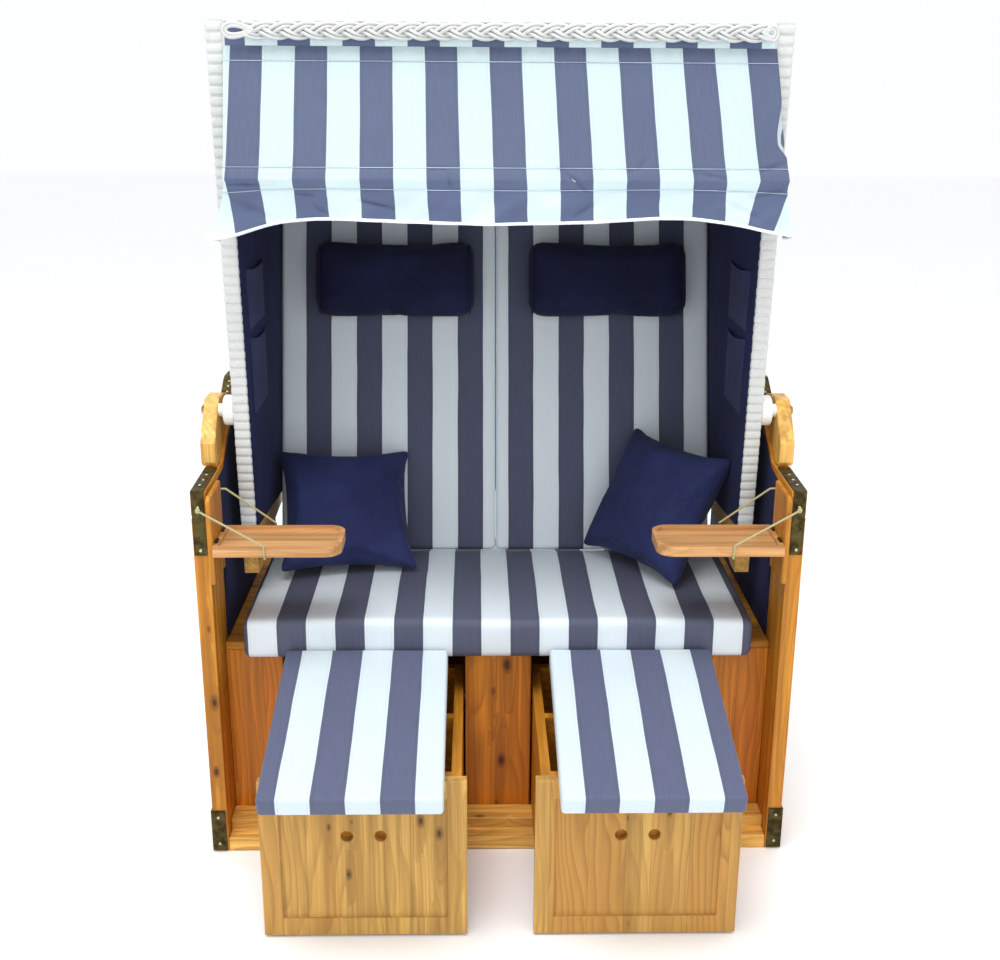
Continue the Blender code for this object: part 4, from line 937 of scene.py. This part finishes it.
def sheet_from(name, columns, rows, place):
    """A sheet with a cloth map: place gives a point and its cloth coordinates."""
    points, cloth = [], []
    for down in rows:
        for across in columns:
            point, flat = place(across, down)
            points.append(point)
            cloth.append(flat)
    obj = new_mesh(name, points, grid_faces(len(rows), len(columns)))
    layer = obj.data.uv_layers.new(name="cloth")
    for loop in obj.data.loops:
        layer.data[loop.index].uv = cloth[loop.vertex_index]
    return obj


def thicken(obj, thickness, offset):
    """Give a sheet a thickness, outwards for an offset of 1 and inwards for -1."""
    pick(obj)
    wall = obj.modifiers.new("thickness", "SOLIDIFY")
    wall.thickness = thickness
    wall.offset = offset
    return apply_modifiers(obj)


class BEACH_OT_hang_awning(bpy.types.Operator):
    """Hang the striped awning over its bow, with its seams, hem and side flaps"""

    bl_idname = "beach.hang_awning"
    bl_label = "Hang the Awning"

    def execute(self, context):
        columns = [-1 + step / 135 for step in range(271)]
        columns = [-1 - step / 14 for step in range(14, 0, -1)] + columns
        columns += [1 + step / 14 for step in range(1, 15)]
        rows = [step / 58 for step in range(59)] + [1 + step / 32 for step in range(1, 33)]
        awning = sheet_from("striped_awning", columns, rows, awning_point)
        hem_points = [Vector(awning_point(across, 2.0)[0]) for across in columns]
        thicken(awning, 0.0012, 1.0)
        dress(awning, "awning_stripes", "awning_frame")
        hem = tube("awning_hem", hem_points[::2], 0.0029, 8, up=(0, 1, 0))
        dress(hem, "hem_tape", "awning_frame")
        edges = []
        for sign in (-1, 1):
            side = [Vector(awning_point(sign * 2.0, down)[0]) for down in rows[4::3]]
            edges.append(tube(f"flap_edge_{sign}", side, 0.0020, 6, up=(0, 1, 0)))
        flaps = joined("awning_flap_edges", edges)
        dress(flaps, "hem_tape", "awning_frame")
        ties = []
        for height in SEAM_HEIGHTS:
            down = (AWNING_TOP[1] - height) / (AWNING_TOP[1] - AWNING_BAR[1])
            if down > 1:
                down = 1 + (AWNING_BAR[1] - height) / (AWNING_BAR[1] - 1.256)
            line = [Vector(awning_point(across, down)[0]) - Vector((0, 0.0017, 0))
                    for across in columns[14:-14]]
            ties.append(tube(f"seam_{height}", line, 0.0005, 5, up=(0, 1, 0)))
        seams = joined("awning_seams", ties)
        dress(seams, "seam_thread", "awning_frame", 0)
        for piece in (awning, hem, flaps, seams):
            piece.parent = None
            at(0.120)
            at(0.033)
            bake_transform(piece)
        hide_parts("awning")
        return {"FINISHED"}


BAND_TOP = 1.5915
BAND_HEIGHT = 0.0395


class BEACH_OT_face_top(bpy.types.Operator):
    """Cover the hood's front edge under the braid with a short striped band"""

    bl_idname = "beach.face_top"
    bl_label = "Face the Top Edge"

    def execute(self, context):
        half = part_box("hood_shell")[1][0] - 0.004

        def place(across, down):
            x = across * half
            z = BAND_TOP - BAND_HEIGHT * down
            ripple = noise.noise((x * 12.0, 2.0, z * 8.0)) * 0.0007
            return (x, at(0.1244) - abs(ripple) * 0.3, z), (x + sizes().stripe * 0.53, -z)

        band = sheet_from("top_band", [-1 + step / 70 for step in range(141)],
                          [step / 6 for step in range(7)], place)
        thicken(band, 0.0006, 1.0)
        dress(band, "awning_stripes", "hood")
        return {"FINISHED"}


def marks(low, high, radius, spacing):
    """Places along one edge of a block: close together at its rounded ends, even between."""
    ends = [radius * share for share in (0.0, 0.12, 0.35, 0.65, 1.0)]
    count = max(1, round((high - low - 2 * radius) / spacing))
    middle = [low + radius + (high - low - 2 * radius) * step / count for step in range(1, count)]
    return [low + end for end in ends] + middle + [high - end for end in reversed(ends)]


def block_net(name, xs, ys, zs):
    """A closed block whose six faces are nets through the given places."""
    numbers, points, faces = {}, [], []
    around = ((0, 0), (0, 1), (1, 1), (1, 0))
    last = [len(places) - 1 for places in (xs, ys, zs)]
    for a, b, fixed, corners in ((0, 1, 2, around), (0, 2, 1, [step[::-1] for step in around]),
                                 (1, 2, 0, around)):
        for u, v, w in product(range(last[a]), range(last[b]), (0, last[fixed])):
            face = []
            for step_u, step_v in corners:
                place = {a: u + step_u, b: v + step_v, fixed: w}
                key = (place[0], place[1], place[2])
                if key not in numbers:
                    numbers[key] = len(points)
                    points.append((xs[key[0]], ys[key[1]], zs[key[2]]))
                face.append(numbers[key])
            faces.append(face)
    return face_outwards(new_mesh(name, points, faces))


def round_off(place, half, radius):
    """A place in a block, counted from its middle, drawn in where the block's edges are round."""
    inner = [max(-end + radius, min(end - radius, value)) for value, end in zip(place, half)]
    out = Vector([value - kept for value, kept in zip(place, inner)])
    if out.length > 1e-9:
        return [kept + share * radius for kept, share in zip(inner, out.normalized())]
    return place


def middle_and_half(low, high):
    """The middle of a box and half of its size."""
    return [(a + b) / 2 for a, b in zip(low, high)], [(b - a) / 2 for a, b in zip(low, high)]


def soft_block(name, low, high, radius, spacing, crown, seed, wrinkle):
    """A stuffed block with rounded edges, a crowned upper face and slow wrinkles. Its upper face
    looks along Z, and it is turned into place afterwards."""
    obj = block_net(name, *(marks(low[axis], high[axis], radius if axis < 2 else radius * 0.98,
                                  spacing) for axis in range(3)))
    middle, half = middle_and_half(low, high)
    for vert in obj.data.vertices:
        place = [vert.co[axis] - middle[axis] for axis in range(3)]
        place = list(round_off(place, half, radius))
        a, b, c = (place[axis] / half[axis] for axis in range(3))
        if c > -0.5:
            lift = crown * (1 - min(1, abs(a)) ** 2.6) * (1 - min(1, abs(b)) ** 2.6)
            wave = noise.noise((place[0] * 7 + seed, place[1] * 7, seed * 1.7)) * wrinkle
            wave += noise.noise((place[0] * 19 + seed, place[1] * 13, seed)) * wrinkle * 0.5
            place[2] += (lift + wave) * min(1.0, c + 0.5)
        vert.co = [place[axis] + middle[axis] for axis in range(3)]
    obj.data.update()
    return obj


def stand_up(obj, turn, place):
    """Turn a piece about the origin and move it to its place."""
    obj.data.transform(Matrix.Translation(Vector(place)) @ turn.to_4x4())
    obj.data.update()
    return obj


def plump(obj, cap, pressure, voxel):
    """Fill a slack cushion: a short cloth run under pressure, kept within cap of its start."""
    pick(obj)
    mesh_step = obj.modifiers.new("even", "REMESH")
    mesh_step.mode = "VOXEL"
    mesh_step.voxel_size = voxel
    apply_modifiers(obj)
    start = [vert.co.copy() for vert in obj.data.vertices]
    run = obj.modifiers.new("cloth", "CLOTH")
    run.settings.quality = 5
    run.settings.mass = 0.25
    run.settings.tension_stiffness = 12
    run.settings.compression_stiffness = 6
    run.settings.shear_stiffness = 3
    run.settings.bending_stiffness = 0.25
    run.settings.use_pressure = True
    run.settings.uniform_pressure_force = pressure
    run.settings.effector_weights.gravity = 0.0
    scene = bpy.context.scene
    run.point_cache.frame_start = 1
    run.point_cache.frame_end = sizes().plump_steps
    for step in range(1, sizes().plump_steps + 1):
        scene.frame_set(step)
    apply_modifiers(obj)
    for vert, first in zip(obj.data.vertices, start):
        moved = vert.co - first
        if moved.length > cap:
            vert.co = first + moved * (cap / moved.length)
    scene.frame_set(1)
    pick(obj)
    even = obj.modifiers.new("even_out", "SMOOTH")
    even.factor = 0.5
    even.iterations = 2
    apply_modifiers(obj)
    return smooth(obj, 60)


# The depth of the seat box's front face, which the cushion's front edge hangs over.
SEAT_BOX_FACE = 0.0842


class BEACH_OT_lay_seat(bpy.types.Operator):
    """Lay the wide striped seat cushion, whose front hangs over the seat box"""

    bl_idname = "beach.lay_seat"
    bl_label = "Lay the Seat Cushion"

    def execute(self, context):
        low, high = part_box("seat_cushion")
        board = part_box("seat_board")[1][2] + 0.0006
        radius = 0.015
        seat = block_net("striped_seat_cushion", *(
            marks(low[n], high[n], radius, gap) for n, gap in enumerate((0.016, 0.014, 0.012))))
        middle, half = middle_and_half(low, high)
        for vert in seat.data.vertices:
            place = round_off([vert.co[n] - middle[n] for n in range(3)], half, radius)
            x, y, z = (place[n] + middle[n] for n in range(3))
            if z > middle[2]:
                share = min(1.0, (z - middle[2]) / half[2] + 0.2)
                dip = 0.0055 * math.cos(math.pi * x / 0.5) ** 2 + 0.002
                wave = (noise.noise((x * 6, y * 6, 2.0)) * 0.003
                        + noise.noise((x * 17, y * 9, 5.0)) * 0.0014)
                z -= (dip - wave) * share * 0.6
            if y > at(SEAT_BOX_FACE):
                z = max(z, board + (z - low[2]) * 0.12)
            if y < low[1] + 0.012:
                y += 0.0016 * noise.noise((x * 8, z * 16, 1.0)) + 0.0008
            vert.co = (x, max(y, low[1] + 0.0002), z)
        dress(seat, "seat_stripes", "base")
        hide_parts("seat_cushion")
        half = high[0] - 0.020
        roll = soft_block("seat_rear_roll", (-half, high[1] - 0.0010, board),
                          (half, high[1] + 0.0900, board + 0.0420), 0.010, 0.020, 0.0, 4.0, 0.0006)
        dress(roll, "seat_stripes", "base", 0)
        return {"FINISHED"}


class BEACH_OT_stand_backs(bpy.types.Operator):
    """Stand the two striped back cushions against the backrest"""

    bl_idname = "beach.stand_backs"
    bl_label = "Stand the Back Cushions"

    def execute(self, context):
        for side, sign in SIDES:
            low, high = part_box(side + "_back_cushion")
            length = (high[2] - low[2]) / math.cos(LEAN) - 0.050 * math.tan(LEAN)
            half = (high[0] - low[0]) / 2 - 0.0004
            middle_x = (low[0] + high[0]) / 2
            back = soft_block(side + "_striped_back", (-half, -length / 2 - 0.0070, 0.0),
                              (half, length / 2, 0.0445), 0.011, 0.016, 0.0045, 3.0 + sign, 0.0011)
            z = (low[2] + high[2]) / 2
            foot = Vector((middle_x, backrest_y(z), z))
            outward = Vector((0, math.cos(LEAN), -math.sin(LEAN)))
            lift = foot + outward * 0.0500
            stand_up(back, BACK_TURN, lift)
            for vert in back.data.vertices:
                vert.co.z = max(vert.co.z, low[2] - 0.0055)
            dress(back, "stripes", "hood")
            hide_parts(side + "_back_cushion")
            anchor = Vector((middle_x, backrest_y(high[2]), high[2]))
            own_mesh(back)
        return {"FINISHED"}


class BEACH_OT_lay_pads(bpy.types.Operator):
    """Lay the striped pads that slope from the seat down to the footrests"""

    bl_idname = "beach.lay_pads"
    bl_label = "Lay the Footrest Pads"

    def execute(self, context):
        turn = Euler((PAD_SLOPE, 0, 0)).to_matrix()
        slope = Vector((0, math.cos(PAD_SLOPE), math.sin(PAD_SLOPE)))
        over = Vector((0, -math.sin(PAD_SLOPE), math.cos(PAD_SLOPE)))
        for side, sign in SIDES:
            low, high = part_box(side + "_footrest_pad")
            node = NODES[side + "_footrest_pad"].data
            along = [vert.co.dot(slope) for vert in node.vertices]
            above = [vert.co.dot(over) for vert in node.vertices]
            length = max(along) - min(along)
            thick = max(above) - min(above)
            half = (high[0] - low[0]) / 2 - 0.0005
            pad = soft_block(side + "_striped_pad", (-half, -length / 2, 0.0003),
                             (half, length / 2, thick * 0.95), 0.007, 0.012, thick * 0.06,
                             6.0 + sign, 0.0009)
            place = slope * ((max(along) + min(along)) / 2) + over * min(above)
            place.x = (low[0] + high[0]) / 2
            stand_up(pad, turn, place)
            for vert in pad.data.vertices:
                vert.co.y = min(vert.co.y, high[1])
            dress(pad, side + "_pad_stripes", side + "_footrest")
            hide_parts(side + "_footrest_pad")
            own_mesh(pad)
        return {"FINISHED"}


PILLOW_HALF = 0.151
# How far to each side a pillow can reach before it meets the lining.
PILLOW_WALL = 0.4835


def knife_pillow(name, half, thick, cells, ears, seed):
    """A slack pillow of two cloths sewn at the edge, with pointed corners."""
    across = marks(-half, half, half * 0.2, half / cells)
    obj = block_net(name, across, across, [-1.0, 0.0, 1.0])
    for vert in obj.data.vertices:
        a, b, c = vert.co.x / half, vert.co.y / half, vert.co.z
        body = max(0.0, (1 - a * a) * (1 - b * b)) ** 0.42
        pull = ears * (1 - min(1, b * b))
        pull_y = ears * (1 - min(1, a * a))
        wave = noise.noise((a * 2.3 + seed, b * 2.3, seed)) * 0.10
        wave += noise.noise((a * 5.0 + seed, b * 4.0, seed * 2)) * 0.045
        x = a * half * (1 - pull * abs(a) ** 1.5)
        y = b * half * (1 - pull_y * abs(b) ** 1.5)
        vert.co = (x, y, c * (0.0015 + thick / 2 * body * (1 + wave * (1 if c > 0 else 0.3))))
    obj.data.update()
    return obj


class BEACH_OT_hang_head_cushions(bpy.types.Operator):
    """Hang the two navy head cushions on the backrest"""

    bl_idname = "beach.hang_head_cushions"
    bl_label = "Hang the Head Cushions"

    def execute(self, context):
        for side, sign in SIDES:
            centre = Vector(middle_and_half(*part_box(side + "_head_cushion"))[0])
            half_x, half_y, thick = 0.179, 0.083, 0.078
            cushion = soft_block(side + "_navy_head_cushion", (-half_x, -half_y, -thick / 2),
                                 (half_x, half_y, thick / 2), 0.034, 0.010, 0.004,
                                 11.0 + sign * 2.0, 0.004)
            for vert in cushion.data.vertices:
                a, b = vert.co.x / half_x, vert.co.y / half_y
                vert.co.z *= 1 - 0.22 * abs(a) ** 5
                vert.co.y -= 0.006 * (1 - a * a) * (0.4 + 0.6 * max(0, b)) - 0.002
                vert.co.x *= 1 - 0.012 * (1 - b * b)
            plump(cushion, 0.006, 3.0, 0.007)
            stand_up(cushion, BACK_TURN, centre)
            dress(cushion, "head_navy", "hood", 0)
            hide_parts(side + "_head_cushion")
            ends = []
            for end in (-1, 1):
                ring = []
                for step in range(33):
                    angle = math.tau * step / 32
                    y = math.copysign(abs(math.cos(angle)) ** 0.62, math.cos(angle)) * 0.0758
                    out = math.copysign(abs(math.sin(angle)) ** 0.62, math.sin(angle)) * 0.0335
                    ring.append(Vector((end * (half_x - 0.013), y - 0.001, out)))
                ends.append(tube(f"{side}_end_{end}", ring, 0.0013, 6))
            seam = joined(side + "_head_cushion_seams", ends)
            stand_up(smooth(seam, 60), BACK_TURN, centre)
            dress(seam, "head_navy", "hood", 0)
        return {"FINISHED"}


class BEACH_OT_drop_pillows(bpy.types.Operator):
    """Lean the two navy throw pillows in the corners of the seat"""

    bl_idname = "beach.drop_pillows"
    bl_label = "Drop the Throw Pillows"

    def execute(self, context):
        high_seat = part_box("seat_cushion")[1][2] + 0.0008
        for (side, sign), turned in zip(SIDES, ((45.0, 13.0, -4.0), (30.0, -52.0, -2.0))):
            lean, swing, roll = (math.radians(angle) for angle in turned)
            turn = (Euler((0, 0, swing)).to_matrix() @ Euler((math.pi / 2 - lean, 0, 0)).to_matrix()
                    @ Euler((0, 0, roll)).to_matrix())
            low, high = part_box(side + "_throw_pillow")
            centre = Vector(middle_and_half(low, high)[0])
            if sign > 0:
                centre += Vector((0.012, -0.018, 0.002))
            pillow = knife_pillow(side + "_navy_pillow", PILLOW_HALF, 0.088, 16, 0.075,
                                  21.0 + 4 * sign)
            plump(pillow, 0.011, 4.0, 0.006)
            reach = max(vert.co.z for vert in pillow.data.vertices)
            for vert in pillow.data.vertices:
                vert.co.z *= min(1.0, 0.0565 / reach)
            stand_up(pillow, turn, centre)
            for vert in pillow.data.vertices:
                past = abs(vert.co.x) - PILLOW_WALL
                if past > 0:
                    vert.co.x = sign * (PILLOW_WALL - 0.1 * past)
                    vert.co.y -= 0.6 * past
                vert.co.z = max(vert.co.z, high_seat)
            dress(pillow, "navy", "hood", 0)
            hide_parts(side + "_throw_pillow")
            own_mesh(pillow)
        return {"FINISHED"}


def trimmed_panel(name, node, face_x, sign, thickness, columns, rows, puff):
    """A cloth panel on a side, from just inside the outline of its CAD node."""
    low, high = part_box(node)
    points = []
    for row in range(rows + 1):
        z = low[2] + 0.0006 + (high[2] - low[2] - 0.0012) * row / rows
        near, far = section(node, z)
        for column in range(columns + 1):
            y = near + (far - near) * column / columns
            a, b = 2 * column / columns - 1, 2 * row / rows - 1
            edge = (1 - abs(a) ** 8) * (1 - abs(b) ** 8)
            wave = noise.noise((y * 7, z * 4, sign * 2.0)) * puff
            wave += noise.noise((y * 16 + z * 9, z * 7, sign * 5.0)) * puff * 0.45
            rise = max(0.0, puff + wave) * edge
            points.append((face_x - sign * (thickness + rise), y, z))
    panel = new_mesh(name, points, grid_faces(rows + 1, columns + 1, flip=sign > 0))
    return thicken(panel, thickness * 0.9, -1.0)


def pocket(name, corners, inner_x, sign, depth):
    """A cloth pocket on a lining: corners run lower front, lower back, upper back, upper front, as
    (y, z). Its upper edge stands away from the lining."""
    rows, columns = 16, 14
    points = []
    for row in range(rows + 1):
        up = row / rows
        for column in range(columns + 1):
            share = column / columns
            low = Vector(corners[0]).lerp(Vector(corners[1]), share)
            top = Vector(corners[3]).lerp(Vector(corners[2]), share)
            y, z = low.lerp(top, up)
            a = 2 * share - 1
            out = 0.0008 + depth * (1 - a ** 4) * (0.35 + 0.65 * up ** 2) * min(1, up * 5)
            out += noise.noise((share * 3, up * 3, z * 9)) * depth * 0.22 * (1 - a ** 4)
            points.append((inner_x - sign * max(0.0006, out), at(y),
                           z - 0.008 * (1 - a * a) * up ** 3))
    cloth = new_mesh(name, points, grid_faces(rows + 1, columns + 1, flip=sign > 0))
    thicken(cloth, 0.0012, -1.0)
    last = rows * (columns + 1)
    hem = tube(name + "_hem", points[last:], 0.0014, 6, up=(1, 0, 0))
    return joined(name, [cloth, hem])


class BEACH_OT_line_sides(bpy.types.Operator):
    """Line the hood and the base with navy cloth, with pockets on the hood's linings"""

    bl_idname = "beach.line_sides"
    bl_label = "Line the Sides"

    def execute(self, context):
        for side, sign in SIDES:
            for part, body, rows, puff in (("hood_lining", "hood", 90, 0.0016),
                                           ("side_lining", "base", 70, 0.0008)):
                node = side + "_" + part
                outer = outer_x(node, sign)
                panel = trimmed_panel(side + "_navy_" + part, node, outer - sign * 0.0002, sign,
                                      0.0030, 42, rows, puff)
                dress(panel, "lining", body)
                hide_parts(node)
            inner = outer_x(side + "_hood_lining", -sign) - sign * 0.0010
            for name, depth, *corners in (
                    ("_low_pocket", 0.0035, (0.215, 0.86), (0.375, 0.86), (0.375, 1.005),
                     (0.205, 1.015)),
                    ("_high_pocket", 0.0032, (0.205, 1.03), (0.385, 1.03), (0.385, 1.145),
                     (0.195, 1.150))):
                piece = pocket(side + name, corners, inner, sign, depth)
                dress(piece, "navy", "hood")
        return {"FINISHED"}


def screw_head(name, place, direction, radius=0.0032):
    """A round screw head with a cross slot, turned to face a direction."""
    put_away_selection()
    bpy.ops.mesh.primitive_uv_sphere_add(segments=14, ring_count=6, radius=radius)
    head = bpy.context.object
    head.name = name
    head.scale = (1, 1, 0.42)
    settle(head)
    turn = Vector((0, 0, 1)).rotation_difference(Vector(direction)).to_matrix()
    return stand_up(smooth(head, 50), turn, place)


# The rise and the run of the arm rail up to its ridge.
RIDGE_SLOPE = (0.127, 0.200)


class BEACH_OT_drive_screws(bpy.types.Operator):
    """Drive the screws of the metal straps, and fix the tray hinges"""

    bl_idname = "beach.drive_screws"
    bl_label = "Drive the Screws"

    def execute(self, context):
        for side, sign in SIDES:
            heads = []
            low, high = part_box(side + "_arm_strap")
            x = (low[0] + high[0]) / 2
            for z in (high[2] - 0.038, low[2] + 0.010):
                heads.append(((x, low[1] - 0.0002, z), (0, -1, 0)))
            for share in (0.22, 0.45, 0.68, 0.9):
                y = low[1] + (high[1] - low[1]) * share
                heads.append(((x, y, high[2] - 0.0025 + 0.006 * share * 0.13), (0, -0.05, 1)))
            low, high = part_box(side + "_foot_strap")
            x = outer_x(side + "_foot_strap", sign)
            middle = (low[0] + high[0]) / 2
            for z in (low[2] + 0.015, high[2] - 0.015):
                heads.append(((middle, low[1] - 0.0002, z), (0, -1, 0)))
                heads.append(((x, low[1] + 0.030, z), (sign, 0, 0)))
            low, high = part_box(side + "_ridge_strap")
            x = (low[0] + high[0]) / 2
            slope = math.atan2(*RIDGE_SLOPE)
            for run in (0.014, 0.028, 0.044):
                place = (x, at(0.370 - run * math.cos(slope)), high[2] - run * math.sin(slope) - 0.001)
                heads.append((place, (0, -math.sin(slope), math.cos(slope))))
            made = [screw_head(f"{side}_screw_{number}", place, direction)
                    for number, (place, direction) in enumerate(heads)]
            screws = joined(side + "_strap_screws", made)
            dress(screws, "screw", "base", 0)
            low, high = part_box(side + "_tray")
            hinge_x = outer_x(side + "_tray", sign)
            knuckles = []
            for y in (low[1] + 0.022, low[1] + 0.086):
                line = [(hinge_x - sign * 0.0030, y + step * 0.004, high[2] + 0.0022)
                        for step in range(6)]
                knuckles.append(tube(f"{side}_knuckle_{y:.2f}", line, 0.0026, 10))
            hinge = joined(side + "_tray_hinges", knuckles)
            dress(hinge, "bronze", "base", 40)
        return {"FINISHED"}


def cord_points(sign):
    """The tray cord's run: its corners from the frame, under the tray and back to its mount."""
    radius = 0.0022
    clear = radius + 0.0003
    start, tray_x = 0.560, 0.440
    under = 0.645 - clear
    out = -0.010 - clear - radius
    front, rear = -0.020 - clear, 0.105 + clear
    run = ((start, -0.0031, 0.735), (0.559, out, 0.735), (0.553, out, 0.731),
           (tray_x, front, 0.668), (0.439, front, under), (0.437, front - out, under),
           (0.436, rear, under), (0.435, rear, 0.668), (0.526, 0.088, 0.745),
           (0.5354, 0.088, 0.745))
    return [Vector((sign * x, at(y), z)) for x, y, z in run]


class BEACH_OT_string_trays(bpy.types.Operator):
    """Run the twisted cord of each tray, with a knot at its front end"""

    bl_idname = "beach.string_trays"
    bl_label = "String the Trays"

    def execute(self, context):
        for side, sign in SIDES:
            corners = cord_points(sign)
            points = []
            for first, second in zip(corners, corners[1:]):
                count = max(1, round((second - first).length / 0.006))
                points += [first.lerp(second, step / count) for step in range(count)]
            points.append(corners[-1])
            cord = tube(side + "_twisted_cord", points, 0.0021, 8)
            put_away_selection()
            bpy.ops.mesh.primitive_ico_sphere_add(subdivisions=2, radius=0.0046)
            knot = bpy.context.object
            knot.scale = (1.0, 0.8, 1.25)
            settle(knot)
            stand_up(knot, Matrix.Identity(3), corners[1])
            cord = joined(side + "_twisted_cord", [cord, knot])
            dress(cord, "cord", "base")
            cord.parent = None
            at(0.04)
            at(0.04)
            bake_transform(cord)
            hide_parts(side + "_tray_cord")
        return {"FINISHED"}


# The camera that was fitted to the photograph: its focal length in pixels, its turn to the side,
# down and about its own axis in degrees, and its place.
FOCAL_PIXELS = 1251.9
PHOTO_WIDTH = 1000.0
VIEW_ANGLES = (1.160, 17.481, 0.328)
VIEW_PLACE = (-0.045, -2.212, 1.487)


class BEACH_OT_set_stage(bpy.types.Operator):
    """Set the pale floor, the studio light and the camera at the photograph's place"""

    bl_idname = "beach.set_stage"
    bl_label = "Set the Stage"

    def execute(self, context):
        put_away_selection()
        bpy.ops.mesh.primitive_plane_add(size=40.0, location=(0, 0, -0.0005))
        floor = bpy.context.object
        floor.name = "studio_floor"
        settle(floor)
        mix = Recipe("studio_floor")
        soft = mix.noise(mix.place, 0.8, 2.0)
        tone = mix.mix(soft, (0.96, 0.96, 0.96), (0.98, 0.98, 0.98))
        floor.data.materials.append(mix.done(tone, soft * 0.1 + 0.75))
        world = bpy.data.worlds.new("studio_air")
        world.use_nodes = True
        air = world.node_tree.nodes["Background"]
        air.inputs[0].default_value = (0.985, 0.995, 1.0, 1.0)
        air.inputs[1].default_value = 1.0
        context.scene.world = world
        for name, place, aim, size, power in (
                ("key", (-0.6, -1.1, 4.6), (0, -0.2, 0.6), 2.4, 124.0),
                ("fill", (2.6, -2.6, 2.2), (0, 0, 0.7), 2.6, 10.0),
                ("front", (-0.2, -4.0, 1.8), (0, 0, 1.0), 2.0, 13.0),
                ("rim", (0.5, 2.6, 3.2), (0, 0, 1.0), 2.4, 6.0)):
            lamp = bpy.data.lights.new(name, "AREA")
            lamp.size = size
            lamp.energy = power
            holder = bpy.data.objects.new(name, lamp)
            holder.location = place
            holder.rotation_euler = (Vector(aim) - Vector(place)).to_track_quat("-Z", "Y").to_euler()
            context.scene.collection.objects.link(holder)
        lens = bpy.data.cameras.new("photograph_view")
        lens.sensor_fit = "HORIZONTAL"
        lens.sensor_width = 36.0
        lens.lens = lens.sensor_width * FOCAL_PIXELS / PHOTO_WIDTH
        camera = bpy.data.objects.new("photograph_view", lens)
        yaw, pitch, roll = (math.radians(value) for value in VIEW_ANGLES)
        turn = (Matrix.Rotation(-yaw, 3, "Z") @ Matrix.Rotation(math.pi / 2 - pitch, 3, "X")
                @ Matrix.Rotation(roll, 3, "Z"))
        camera.location = (VIEW_PLACE[0], at(VIEW_PLACE[1]), VIEW_PLACE[2])
        camera.rotation_euler = turn.to_euler()
        context.scene.collection.objects.link(camera)
        context.scene.camera = camera
        context.scene.view_settings.view_transform = "Standard"
        return {"FINISHED"}


class BEACH_PT_chair(bpy.types.Panel):
    """The chair's sizes, colours and steps in the sidebar"""

    bl_label = "Beach Chair"
    bl_space_type = "VIEW_3D"
    bl_region_type = "UI"
    bl_category = "Beach Chair"

    def draw(self, context):
        layout = self.layout
        for group in (context.scene.beach_chair_sizes, context.scene.beach_chair_colours):
            for name in group.bl_rna.properties.keys():
                if name not in ("rna_type", "name"):
                    layout.prop(group, name)
        for step in STEPS:
            layout.operator(step.bl_idname)


STEPS = (BEACH_OT_set_stage, BEACH_OT_finish_frame, BEACH_OT_weave_hood, BEACH_OT_wrap_edges,
         BEACH_OT_braid_top, BEACH_OT_face_top, BEACH_OT_hang_awning, BEACH_OT_lay_seat,
         BEACH_OT_stand_backs, BEACH_OT_lay_pads, BEACH_OT_hang_head_cushions,
         BEACH_OT_drop_pillows, BEACH_OT_line_sides, BEACH_OT_drive_screws,
         BEACH_OT_string_trays)
CLASSES = (BeachChairSizes, BeachChairColours, *STEPS, BEACH_PT_chair)


def register():
    for made in CLASSES:
        bpy.utils.register_class(made)
    bpy.types.Scene.beach_chair_sizes = PointerProperty(type=BeachChairSizes)
    bpy.types.Scene.beach_chair_colours = PointerProperty(type=BeachChairColours)


def unregister():
    del bpy.types.Scene.beach_chair_colours
    del bpy.types.Scene.beach_chair_sizes
    for made in reversed(CLASSES):
        bpy.utils.unregister_class(made)


def main():
    register()
    for step in STEPS:
        group, name = step.bl_idname.split(".")
        getattr(getattr(bpy.ops, group), name)()
    put_away_selection()


if __name__ == "__main__":
    main()
